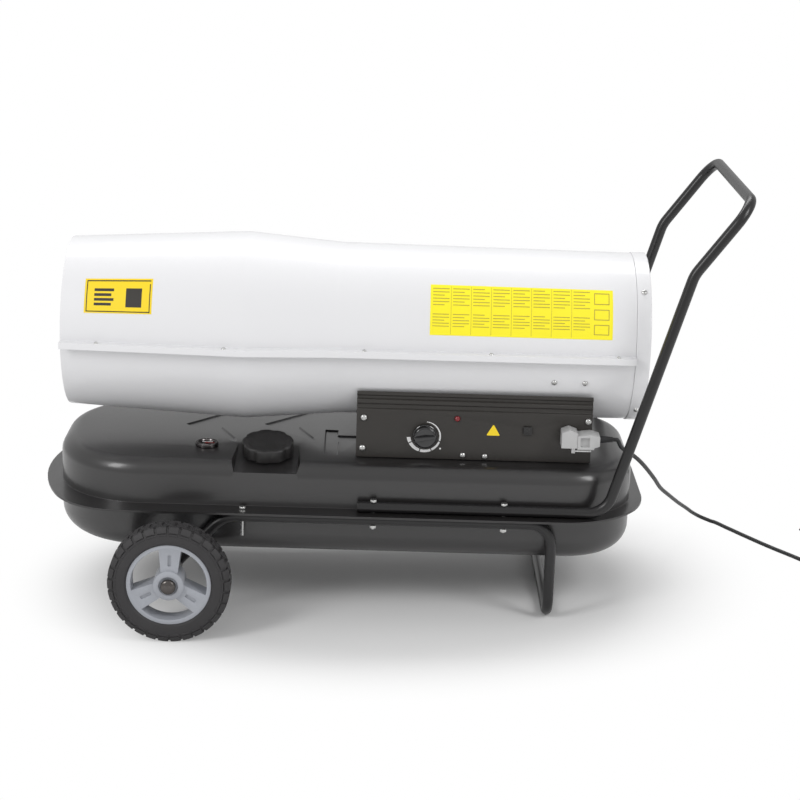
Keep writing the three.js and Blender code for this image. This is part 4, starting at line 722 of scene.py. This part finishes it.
def make_gauge():
    """The fuel gauge: a bright ring round a window with a plain barred scale."""
    seat = TANK_TOP + GAP
    foot, rim, window = seat - 14, seat + 6, seat + 3
    wide = GAUGE_RADIUS
    profile = soft([(0, foot), (9, foot), (9, seat), (wide, seat), (wide, rim), (wide - 4.4, rim),
                    (wide - 5.4, window), (0, window)], 1.1)
    body = turned("fuel_gauge_ring", profile, "Z", (GAUGE_X, GAUGE_Y, 0), 64)
    stem = block("stem", (GAUGE_X - 4, GAUGE_Y + 4, 191), (GAUGE_X + 4, GAUGE_Y + 6, seat - 13))
    pin = rod("pin", 1.5, -4, 5, "Y", (GAUGE_X, GAUGE_Y, 196), 20)
    together("fuel_gauge_ring", body, stem, pin)
    settle(body, "gauge_chrome", "fuel_gauge", smooth=40)
    scale = together("gauge_scale", *[
        block("bar", (GAUGE_X - 9, y - 0.9, window), (GAUGE_X + 9, y + 0.9, window + 0.25))
        for y in (GAUGE_Y - 7.5, GAUGE_Y + 7.5)
    ])
    settle(scale, "white_paint", finish="print_white")


# Tubes
RAIL_BEND, KNEE_BEND, KNEE_ANGLE, GRIP_ANGLE = 42, 60, 74, 54
FRAME_BEND, LEG_BEND, FOOT_BEND, BUSH_RADIUS = 60, 38, 30, 13


def both_sides(half):
    """A bent line over the near side and back over the far side."""
    return bent([*half, *[(x, -y, z, bend) for x, y, z, bend in reversed(half)]], 5)


def make_tubes():
    knee_x = RAIL_END + (KNEE_Z - RAIL_Z) / tan(radians(KNEE_ANGLE))
    grip_x = knee_x + (GRIP_Z - KNEE_Z) / tan(radians(GRIP_ANGLE))
    handle = tube("handle_tube", both_sides([
        (RAIL_START, -RAIL_Y, RAIL_Z, 0), (RAIL_END, -RAIL_Y, RAIL_Z, RAIL_BEND),
        (knee_x, -RAIL_Y, KNEE_Z, KNEE_BEND), (grip_x, -RAIL_Y, GRIP_Z, RAIL_BEND),
    ]), TUBE_RADIUS, 28)
    settle(handle, "tube_paint", "handle", smooth=50)
    wide = TUBE_RADIUS - 0.4
    profile = soft([(0, -1.8), (wide, -1.8), (wide, -0.1), (0, -0.1)], 0.7)
    for side, label in SIDES:
        plug = turned(f"rail_plug_{label}", profile, "X", (RAIL_START, side * RAIL_Y, RAIL_Z), 32)
        settle(plug, "black_plastic")

    base = tube("support_frame_tube", both_sides([
        (AXLE_X, -RAIL_Y, WHEEL_RADIUS, 0), (FRAME_RISE_X, -RAIL_Y, FRAME_Z, FRAME_BEND),
        (LEG_X, -RAIL_Y, FRAME_Z, LEG_BEND), (LEG_X, -RAIL_Y, FOOT_Z, FOOT_BEND),
    ]), TUBE_RADIUS, 28)
    bush_start, bush_end = RAIL_Y - 12, WHEEL_Y - HUB_WIDTH / 2 - GAP
    bore = AXLE_RADIUS + 0.4
    bushes = [
        turned("bush", soft([(bore, low), (BUSH_RADIUS, low), (BUSH_RADIUS, high), (bore, high)], 0.8),
               "Y", (AXLE_X, 0, WHEEL_RADIUS), 40, closed=True)
        for low, high in ((-bush_start, -bush_end), (bush_start, bush_end))
    ]
    together("support_frame_tube", base, *bushes)
    settle(base, "tube_paint", "support_frame", smooth=50)


# Wheels
TREAD_PITCHES, STEPS_PER_PITCH, TREAD_LIFT = 30, 5, 2.4
SIDE_TREAD, MID_TREAD, SIDE_LIFT = 8.6, (0.8, 7.2), 0.8
SPOKES, SPOKE_START, SPOKE_AT_HUB, SPOKE_AT_RIM, RECESS = 3, -86, 13.5, 18.5, 3
CAP_DOME_RADIUS, CAP_DOME_HEIGHT = 12.5, 9


def make_tyre(label, y):
    """A tyre spun from its section, its tread blocks pulled out of the spun faces."""
    half = TYRE_WIDTH / 2
    base = WHEEL_RADIUS - TREAD_LIFT
    side = [
        (RIM_RADIUS + 0.3, half - 4), (72, half - 1.2), (77, half), (85.5, half - 0.3),
        (86, half - 0.9), (89.4, half - 1.1), (90.4, half - 1.7), (94.6, half - 3.4),
        (base, half - 6.5), (base, SIDE_TREAD), (base, MID_TREAD[1]), (base, MID_TREAD[0]),
    ]
    profile = [*side, *[(r, -a) for r, a in reversed(side)]]
    at = Vector((AXLE_X, y, WHEEL_RADIUS))
    count = TREAD_PITCHES * STEPS_PER_PITCH
    tyre = turned(f"tyre_{label}_treaded", profile, "Y", at, count, closed=True)

    def blocks(low, high, reach_low, reach_high, shift):
        """A test for one row's faces that leaves out a step in every pitch."""
        def test(face):
            spot = middle(face) - at
            turn = degrees(atan2(spot.x, spot.z)) % 360
            step = int(turn * count / 360) + shift
            in_row = low < abs(spot.y) < high and reach_low < hypot(spot.x, spot.z) < reach_high
            return in_row and step % STEPS_PER_PITCH != 0
        return test

    edit(tyre)
    for rise, test in (
        (TREAD_LIFT, blocks(SIDE_TREAD, half, 90.6, WHEEL_RADIUS, 0)),
        (TREAD_LIFT, blocks(*MID_TREAD, 90.6, WHEEL_RADIUS, 2)),
        (SIDE_LIFT, blocks(half - 1.4, half, 86.2, 89.3, 0)),
    ):
        pick(tyre, "FACE", test)
        bpy.ops.mesh.extrude_region_shrink_fatten(TRANSFORM_OT_shrink_fatten={"value": rise})
    leave()
    soften(tyre, 0.45, 1, 50)
    settle(tyre, "tyre_rubber", f"tyre_{label}", body=f"wheel_{label}", stance=LEVEL, smooth=30)


def make_rim(label, y, side):
    """A moulded rim: lipped ring, hub and three slotted spokes."""
    half = TYRE_WIDTH / 2 - 4
    inner = RIM_RADIUS - RIM_LIP
    at = Vector((AXLE_X, y, WHEEL_RADIUS))
    ring = turned(f"wheel_rim_{label}_moulded", soft([
        (RIM_RADIUS - 0.2, -half), (inner, -half), (inner, half), (RIM_RADIUS - 0.2, half),
    ], 1.4), "Y", at, 96, closed=True)
    face = HUB_WIDTH / 2
    profile = soft([
        (AXLE_RADIUS + 0.4, -face), (HUB_RADIUS, -face), (HUB_RADIUS, face - 2),
        (HUB_RADIUS - 5, face), (16, face), (14, face - 3.5), (AXLE_RADIUS + 0.4, face - 3.5),
    ], 1.2)
    hub = turned("hub", [(r, side * a) for r, a in profile], "Y", at, 64, closed=True)
    low, high = y - half + 0.4, y + half - 0.4
    spokes = []
    start, end = HUB_RADIUS - 4, inner + 2
    outline = [(start, -SPOKE_AT_HUB), (end, -SPOKE_AT_RIM), (end, SPOKE_AT_RIM), (start, SPOKE_AT_HUB)]
    slot = rounded([(32, -3), (52, -3), (52, 3), (32, 3)], 2.9, 18)
    for k in range(SPOKES):
        spoke = plate(f"spoke_{k}", outline, "Y", low, high)
        cut(spoke, plate("slot", slot, "Y", low - 1, low + RECESS),
            plate("slot", slot, "Y", high - RECESS, high + 1))
        turn = Matrix.Rotation(radians(SPOKE_START + 360 / SPOKES * k), 4, "Y")
        spokes.append(move(spoke, Matrix.Translation((AXLE_X, 0, WHEEL_RADIUS)) @ turn))
    joined(ring, hub, *spokes)
    soften(ring, 0.8, 2, 40)
    settle(ring, "wheel_grey", f"wheel_rim_{label}", body=f"wheel_{label}", stance=LEVEL)


def make_hub_cap(label, side):
    """The dark dome pushed on the axle's end."""
    hub_face = WHEEL_Y + HUB_WIDTH / 2
    start, top = hub_face + GAP, hub_face + CAP_DOME_HEIGHT
    dome = [(CAP_DOME_RADIUS * cos(a), start + 3 + (top - start - 3) * sin(a))
            for a in (radians(9 * k) for k in range(10))]
    socket = AXLE_RADIUS + GAP
    profile = [(0, start + 5), (socket, start + 5), (socket, start), (CAP_DOME_RADIUS, start),
               *dome, (0, top)]
    line = [(r, side * a) for r, a in profile]
    cap = turned(f"hub_cap_{label}_dome", line, "Y", (AXLE_X, 0, WHEEL_RADIUS), 40)
    settle(cap, "black_plastic", f"hub_cap_{label}", smooth=50, finish="dark_steel")


def make_wheels():
    for side, label in SIDES:
        make_tyre(label, side * WHEEL_Y)
        make_rim(label, side * WHEEL_Y, side)
        make_hub_cap(label, side)


# Barrel
SHELL_STEPS, FOLD_RADIUS = 60, 2.2
BRACKET_SCREWS, BRACKET_SCREW_Z = (343, 394), 416
GUARD_WIRE, GUARD_INNER, GUARD_RINGS, GUARD_BARS = 1.7, 32, 4, 6


def shell_half(name, up, ledge, drop):
    """One half of the casing: a spun sheet with a ledge folded out along both seams."""
    line = [(p.x, p.y) for p in bent([(x, r, 0, 90) for x, r in BARREL], 3)]
    obj = traced(name, [(x, -r, BARREL_Z) for x, r in line], False)
    bpy.ops.mesh.spin(steps=SHELL_STEPS, angle=up * pi, center=(0, 0, BARREL_Z), axis=AXES["X"])
    seam = BARREL_Z + up * (GAP / 2 + SHEET)
    pick(obj, "VERT", lambda v: abs(v.co.z - BARREL_Z) < LEVEL_SLACK)
    bpy.ops.transform.translate(value=(0, 0, seam - BARREL_Z))
    for side in (-1, 1):
        pick(obj, "EDGE", lambda edge: lies_at(edge, seam) and all(
            v.co.y * side > 0 and abs(v.co.y) < barrel_radius(v.co.x) + 1 for v in edge.verts))
        draw_out(0, side * ledge, 0)
        if drop:
            draw_out(0, 0, -up * drop)
    pick(obj, "EDGE", lambda edge: lies_at(edge, seam) and len(edge.link_faces) == 2 and abs(
        edge.verts[0].co.y - edge.verts[1].co.y) < 3)
    bevel(FOLD_RADIUS, 3, clamp=True)
    return sheet_out(obj, SHEET, 0, 0, up)


def make_screw():
    """A pan-head screw with a cross recess, seen from above its seat."""
    head = turned("screw", [(0, -1), (2, -1), (2, 0), (4.2, 0), (4.1, 1.2), (3.3, 2.3), (2, 2.8), (0, 3)],
                  "Z", steps=28)
    long, narrow = 2.1, 0.5
    return cut(head, block("recess_0", (-long, -narrow, 1.5), (long, narrow, 4)),
               block("recess_1", (-narrow, -long, 1.5), (narrow, long, 4)))


def screw_at(name, at, toward, size, turn):
    """A copy of the screw, seated at a place and facing a way."""
    aim = Vector(toward).normalized().to_track_quat("Z", "Y").to_matrix().to_4x4()
    place = Matrix.Translation(at) @ aim @ Matrix.Rotation(turn, 4, "Z") @ Matrix.Scale(size, 4)
    return settle(copied(SCREW, name, place), "zinc_steel", smooth=40)


def make_shells():
    for node, up, ledge, drop in (("upper_shell", 1, LEDGE_WIDTH, LIP_DROP + SHEET),
                                  ("lower_shell", -1, LEDGE_WIDTH - SHEET - 1, 0)):
        shell = shell_half(f"{node}_pressed", up, ledge, drop)
        if up < 0:
            cut(shell, rod("line_hole", 3.5, BARREL_Z - 200, BARREL_Z, "Z", (100, 60, 0), 20))
        settle(soften(shell, 0.4, 2, 60), "white_paint", node, smooth=20)


def make_ring():
    """The rolled ring round the barrel's rear end, with its four screws."""
    inner, step, outer = (BARREL[-1][1] + more for more in (-3.6, -2.6, 1.5))
    start, end = RING_START, RING_START + RING_LENGTH
    ring = turned("body_ring_rolled", soft([
        (inner, start - 12), (step, start - 12), (step, start + GAP), (outer, start + GAP),
        (outer, end), (inner, end), (inner, start - 11),
    ], 1.2), "X", (0, 0, BARREL_Z), 128, closed=True)
    settle(ring, "white_paint", "body_ring")
    for k, angle in enumerate((45, 135, 225, 315)):
        way = Vector((0, *around(0, 0, 1, angle)))
        at = Vector((start + RING_LENGTH / 2, 0, BARREL_Z)) + way * outer
        screw_at(f"ring_screw_{k}", at, way, 1.15, 0.5 * k)


def make_barrel_screws():
    top = BARREL_Z + GAP / 2 + SHEET
    for k, x in enumerate(LEDGE_SCREWS):
        for side, label in SIDES:
            at = (x, side * (barrel_radius(x) + LEDGE_WIDTH * 0.55), top)
            screw_at(f"seam_screw_{label}_{k}", at, (0, 0, 1), 0.85, 0.7 * k)
    for k, x in enumerate(BRACKET_SCREWS):
        height = BRACKET_SCREW_Z - BARREL_Z
        y = sqrt(barrel_radius(x) ** 2 - height ** 2)
        for (side, label), size, turn in zip(SIDES, (1.15, 0.85), (0.4, 0.3)):
            at = (x, side * y, BRACKET_SCREW_Z)
            screw_at(f"bracket_screw_{label}_{k}", at, (0, side * y, height), size, turn * k)


def make_guard():
    """The rear guard of wire rings on wire bars."""
    reach = BARREL[-1][1] - SHEET - 3.2
    wires = []
    for k in range(GUARD_RINGS):
        radius = GUARD_INNER + (reach - GUARD_WIRE - GUARD_INNER) / (GUARD_RINGS - 1) * k
        circle = [(GUARD_X, *around(0, BARREL_Z, radius, 5 * n)) for n in range(73)]
        wires.append(tube(f"guard_ring_{k}", circle, GUARD_WIRE, 10))
    for k in range(GUARD_BARS):
        ends = [(GUARD_X - GUARD_WIRE, *around(0, BARREL_Z, d, 90 - 360 / GUARD_BARS * k))
                for d in (GUARD_INNER - 1, reach)]
        wires.append(tube(f"guard_bar_{k}", ends, GUARD_WIRE, 10))
    settle(together("rear_guard_wires", *wires), "machine_steel", "rear_guard", smooth=60)


FILM, FILM_LIFT, PRINT_LIFT = 0.2, 0.35, 0.5


def label_patch(name, x0, x1, z0, z1, lift):
    """A thin piece of film lying on the near side of the casing."""
    reach, end_reach = barrel_radius(x0) + lift, barrel_radius(x1) + lift
    low, high = (asin((z - BARREL_Z) / reach) for z in (z0, z1))
    count = max(1, round(degrees(high - low) / 3))
    turns = [low + (high - low) * k / count for k in range(count + 1)]
    line = [(x0, -reach * cos(t), BARREL_Z + reach * sin(t)) for t in turns]
    obj = traced(name, line, False)
    draw_out(x1 - x0, 0, 0)
    grow = end_reach / reach
    bpy.ops.transform.resize(value=(1, grow, grow), center_override=(x1, 0, BARREL_Z))
    return sheet_out(obj, FILM, 0, -1, 0)


def film(name, finish, lift, patches):
    """One piece of film, or print made of several. A patch is its ends in x and in z."""
    first, *others = [label_patch(name, *patch, lift) for patch in patches]
    settle(together(name, first, *others) if others else first, "white_paint", finish=finish)


def box_lines(x0, x1, z0, z1, line):
    """The four lines of a plain box."""
    return [(x0, x1, z0, z0 + line), (x0, x1, z1 - line, z1),
            (x0, x0 + line, z0 + line, z1 - line), (x1 - line, x1, z0 + line, z1 - line)]


def make_labels():
    """Two blank yellow labels with plain ruled fields in place of the printed ones."""
    film("large_label", "label_lemon", FILM_LIFT, [(134, 434, 493, 568)])
    rules = []
    for column in range(8):
        x = 138 + 33 * column
        for top, count in ((563, 6), (526, 5)):
            for line in range(count):
                width = 19 if (column + line) % 3 == 2 else 27
                z = top - 4.6 * line
                rules.append((x, x + width, z - 0.55, z + 0.55))
        if column:
            rules.append((x - 3.2, x - 2.7, 495, 566))
    for z in (500, 523, 546):
        rules += box_lines(403, 428, z, z + 16, 1.2)
    film("large_label_rules", "label_grey", PRINT_LIFT, rules)

    film("small_label", "label_yellow", FILM_LIFT, [(-432, -321, 512, 562)])
    rows = [(-416, -388 + 4 * (k % 2), 524 + 7 * k, 528 + 7 * k) for k in range(4)]
    film("small_label_marks", "label_black", PRINT_LIFT,
         [*box_lines(-429, -324, 514, 560, 1.5), (-364, -338, 523, 551), *rows])


# Control box
PANEL_RIBS = [(0, 0), (3.6, 2), (3.6, 8), (0.6, 10), (0.6, 16), (5, 18), (5, 22), (2.4, 24)]
PANEL_LINE = [
    (PANEL_Y, PANEL_LOW), *[(PANEL_Y - deep, PANEL_FACE_TOP + up) for deep, up in PANEL_RIBS],
    (PANEL_Y - 2.4, PANEL_TOP),
]
PANEL_HOLES = [
    (3.4, KNOB_X, KNOB_Z), (LAMP_RADIUS - 0.7, LAMP_X, LAMP_Z), (4.3, SENSOR_X, SENSOR_Z),
]
INLET_EDGE, INLET_TOP_EDGE = 3.7, 7.7
NEAR_SCREWS = [
    (30, 346, 1.35), (28.5, 293, 1.35), (196.5, 285, 1.15), (233.5, 284, 1.15), (403, 350, 1.3),
]
FAR_SCREWS = [(30, 346, 1), (30, 290, 1), (214, 286, 1), (398, 290, 1), (398, 346, 1)]
GRIP = [(-17, -4.2), (17, -2.6), (17, 2.6), (-17, 4.2)]
DIAL_BANDS = [(186, 204), (208, 250), (254, 292), (296, 338), (342, 444)]
DIAL_INNER, DIAL_THIN, DIAL_SPREAD = 24.2, 1.1, 5.2
INK, INK_BACK = -PANEL_Y - 0.18, -PANEL_Y - 0.02


def side_panel(name, side):
    """A folded side panel: its ribbed section traced and drawn out along the box."""
    line = soft(PANEL_LINE, 1.2, 30)
    obj = traced(name, [(BOX_START, side * y, z) for y, z in line], False)
    draw_out(BOX_END - BOX_START, 0, 0)
    return sheet_out(obj, SHEET, 0, side, 0)


def make_panels():
    panel = side_panel("control_panel_folded", -1)
    holes = [rod("hole", radius, -10, 10, "Y", (x, -PANEL_Y, z), 28) for radius, x, z in PANEL_HOLES]
    low, high = INLET_Z - INLET_HEIGHT / 2, INLET_Z + INLET_HEIGHT / 2
    cut(panel, *holes, block("hole", (INLET_X + INLET_EDGE, -PANEL_Y - 9, low + INLET_EDGE),
                             (INLET_X + INLET_WIDTH - INLET_EDGE, 9 - PANEL_Y, high - INLET_TOP_EDGE)))
    for sheet, node in (panel, "control_panel"), (side_panel("far_panel_folded", 1), "far_panel"):
        settle(soften(sheet, 0.4, 2, 50), "panel_paint", node, smooth=30)
    for (side, label), screws, turn in zip(SIDES, (NEAR_SCREWS, FAR_SCREWS), (0.6, 0.9)):
        for k, (x, z, size) in enumerate(screws):
            at = (x, side * PANEL_Y, z)
            screw_at(f"panel_screw_{label}_{k}", at, (0, side, 0), size, turn * k)


def make_knob():
    """The thermostat knob: a skirt, a dished drum and a grip bar tilted up to the right."""
    face = -PANEL_Y - 1
    drum = turned("thermostat_knob_moulded", soft([
        (0, face), (KNOB_RADIUS, face), (KNOB_RADIUS, face - 2.4), (KNOB_RADIUS - 1.6, face - 3.4),
        (KNOB_RADIUS - 2.4, face - 11), (KNOB_RADIUS - 5, face - 12.4), (0, face - 11),
    ], 0.9), "Y", (KNOB_X, 0, KNOB_Z), 64)
    grip = plate("grip", rounded(GRIP, 1.8), "Y", face - 17, face - 9)
    soften(grip, 0.9, 3, 40)
    move(grip, Matrix.Translation((KNOB_X, 0, KNOB_Z)) @ Matrix.Rotation(radians(-9), 4, "Y"))
    shaft = rod("shaft", 3, face - 1, -PANEL_Y + 12, "Y", (KNOB_X, 0, KNOB_Z), 20)
    joined(drum, grip, shaft)
    settle(drum, "black_plastic", "thermostat_knob", body="knob", finish="knob_gloss")


def make_dial():
    """The printed scale round the knob: five bands that taper as they go round."""
    first, last = DIAL_BANDS[0][0], DIAL_BANDS[-1][1]
    prints = []
    for k, (start, end) in enumerate(DIAL_BANDS):
        turns = [start + (end - start) * n / 10 for n in range(11)]
        wide = [(DIAL_INNER + DIAL_THIN + DIAL_SPREAD * (1 - (a - first) / (last - first)) ** 1.1, a)
                for a in reversed(turns)]
        outline = [around(KNOB_X, KNOB_Z, r, a) for r, a in [*[(DIAL_INNER, a) for a in turns], *wide]]
        prints.append(plate(f"band_{k}", outline, "Y", INK, INK_BACK))
    dot = rounded([(157, 294), (160, 294), (160, 297), (157, 297)], 1.2)
    prints.append(plate("dot", dot, "Y", INK, INK_BACK))
    settle(together("thermostat_scale", *prints), "white_paint", finish="print_white")
    corners = rounded([(234.5, 321), (257.5, 321), (246, 340.5)], 1.2)
    sign = plate("blank_triangle", corners, "Y", -PANEL_Y - 0.25, INK_BACK)
    settle(sign, "panel_paint", finish="label_yellow")


def make_lamp():
    """The indicator lamp: a red dome on a short stem behind the panel."""
    profile = [(0, 4.2), (1.8, 4.05), (3.4, 3.3), (4.4, 2.1), (LAMP_RADIUS, 0.9), (LAMP_RADIUS, 0.3),
               (3.8, 0.3), (3.8, -10), (0, -10)]
    line = [(r, -PANEL_Y - a) for r, a in profile]
    lamp = turned("indicator_lamp_dome", line, "Y", (LAMP_X, 0, LAMP_Z), 36)
    settle(lamp, "red_lens", "indicator_lamp", smooth=50)


# Mains lead
COIL_RADIUS, COIL_TURNS, COIL_PITCH, COIL_CLIMB = 39, 2, 7.6, 7.6
COIL_X, COIL_Y, COIL_START, COIL_STEPS = 803, 66, radians(216), 36
PLUG_RADIUS, TAIL_LENGTH = 18.5, 36
CORD_POINTS = [
    (389.6, -144, 287.7), (409.2, -126, 269.4), (428.5, -98, 246.4), (460.5, -30, 195),
    (482.3, 30, 154), (507.3, 90, 118), (533.3, 155, 81), (557.3, 210, 50), (577.3, 247, 26),
    (595.3, 265, 11), (613.9, 263.5, 3.5), (639.5, 226, 3.5), (662.4, 189.2, 3.5),
    (698.9, 132.7, 3.5), (736.3, 80, 3.5),
]


def smoothstep(value, low, high):
    share = min(1, max(0, (value - low) / (high - low)))
    return share * share * (3 - 2 * share)


def coil_line():
    """Two turns in, half a turn of climbing to the next layer, and two turns out again."""
    spiral = 2 * pi * COIL_TURNS
    total = 2 * spiral + pi
    count = round((2 * COIL_TURNS + 0.5) * COIL_STEPS)
    outer = COIL_RADIUS + COIL_PITCH * COIL_TURNS / 2
    line = []
    for k in range(count + 1):
        turned_by = total * k / count
        inward = min(turned_by, total - turned_by)
        radius = outer - COIL_PITCH * inward / (2 * pi)
        climb = smoothstep(turned_by, spiral, spiral + pi)
        rise = smoothstep(turned_by, total - pi / 2, total)
        z = CORD_RADIUS + COIL_CLIMB * climb + (PLUG_RADIUS - CORD_RADIUS - COIL_CLIMB) * rise
        angle = COIL_START + turned_by
        line.append(Vector((COIL_X + radius * cos(angle), COIL_Y + radius * sin(angle), z)))
    return line


def ahead_at(angle):
    """The way the coil runs at an angle round its middle."""
    return Vector((-sin(angle), cos(angle), 0))


def smooth_line(points, spacing):
    """A centripetal spline through points, sampled about every spacing millimetres."""
    def between(a, b, t, t_a, t_b):
        return a * (t_b - t) / (t_b - t_a) + b * (t - t_a) / (t_b - t_a)

    whole = [2 * points[0] - points[1], *points, 2 * points[-1] - points[-2]]
    line = []
    for p0, p1, p2, p3 in zip(whole, whole[1:], whole[2:], whole[3:]):
        t0, t1 = 0.0, sqrt((p1 - p0).length)
        t2 = t1 + sqrt((p2 - p1).length)
        t3 = t2 + sqrt((p3 - p2).length)
        count = max(1, round((p2 - p1).length / spacing))
        for k in range(count):
            t = t1 + (t2 - t1) * k / count
            middle_run = between(p1, p2, t, t1, t2)
            before = between(between(p0, p1, t, t0, t1), middle_run, t, t0, t2)
            after = between(middle_run, between(p2, p3, t, t2, t3), t, t1, t3)
            line.append(between(before, after, t, t1, t2))
    return [*line, points[-1]]


def make_lead():
    """The mains lead: down behind the handle, over the floor and into its coil."""
    exit_x = CONNECTOR_X + CONNECTOR_LENGTH + GAP + RELIEF_LENGTH + GAP
    exit_at = STANCE @ Vector((exit_x, CORD_Y, CORD_Z)) * 1000
    coil = coil_line()
    straight = 2 * CORD_RADIUS
    step_in = ahead_at(COIL_START) * straight
    lead_in = coil[0] - step_in
    coil_end = COIL_START + 2 * pi * (2 * COIL_TURNS + 0.5)
    lead_out = coil[-1] + ahead_at(coil_end) * TAIL_LENGTH
    run = smooth_line([
        exit_at, exit_at + fan_axis.normalized() * straight, *[Vector(p) for p in CORD_POINTS],
        lead_in - step_in, lead_in,
    ], 6)
    route = [*run, *coil, lead_out]
    for point in route:
        point.z = max(point.z, CORD_RADIUS)
    route = [METRES @ point for point in route]
    lead = round_curve("mains_lead", route, CORD_RADIUS / 1000, 4)
    lead.data.splines[0].use_smooth = True
    lead.data.materials.append(FINISHES["cord_black"])
    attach(lead, "frame")
    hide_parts("cord_run", "cord_coil")


# What keeps the model's shape
FRAME_PIECES = {
    "tank_paint": {"filler_neck": 0.5, "control_box": 0.5},
    "zinc_steel": {"drain_plug": 0.6, "filler_strainer": 0.2, "axle": 0.8,
                   **{node: 0.6 for node in NODES if "bolt" in node or "nut" in node}},
    "brass": {"nozzle": 0.4, "fuel_line": 0.2},
    "heat_steel": {"combustion_chamber": 0.4, "chamber_cradle": 0.3, "outlet_baffle": 0.3,
                   "burner_head": 0.4},
    "ceramic": {"ignition_electrodes": 0.4},
    "machine_steel": {"motor_bracket": 0.4},
    "motor_casting": {"motor": 1.4, "air_pump": 1.2},
    "black_plastic": {"filter_cover": 1.2, "room_sensor": 0.8, "ignition_transformer": 2.5},
    "board_green": {"control_board": 0.3},
    "pale_grey_plastic": {"inlet_socket": 0.8, "cord_connector": 0.8},
    "cord_black": {"strain_relief": 0.4, "mains_plug": 1.0},
}
MOVING_PIECES = {
    "float_arm": ("float", "brass", 0.5), "gauge_needle": ("needle", "needle_red", 0.2),
    "connector_latch": ("latch", "latch_steel", 0.3), "fan_blade": ("fan_rotor", "fan_aluminium", 0.4),
    "motor_shaft": ("fan_rotor", "machine_steel", 0.4),
}

set_camera()
bpy.context.scene.view_settings.view_transform = "Standard"
set_world()
lay_floor()
for name, light in LIGHTS.items():
    area_light(name, *light)
FINISHES = make_finishes()
SCREW = make_screw()
made = {node: dressed(node, "frame", slot, width)
        for slot, widths in FRAME_PIECES.items() for node, width in widths.items()}
for node, (body, slot, width) in MOVING_PIECES.items():
    dressed(node, body, slot, width)
make_lead()
make_tank()
make_cap()
make_gauge()
make_tubes()
make_wheels()
make_shells()
make_ring()
make_barrel_screws()
make_guard()
make_labels()
make_panels()
make_knob()
make_dial()
make_lamp()
bpy.data.objects.remove(SCREW)
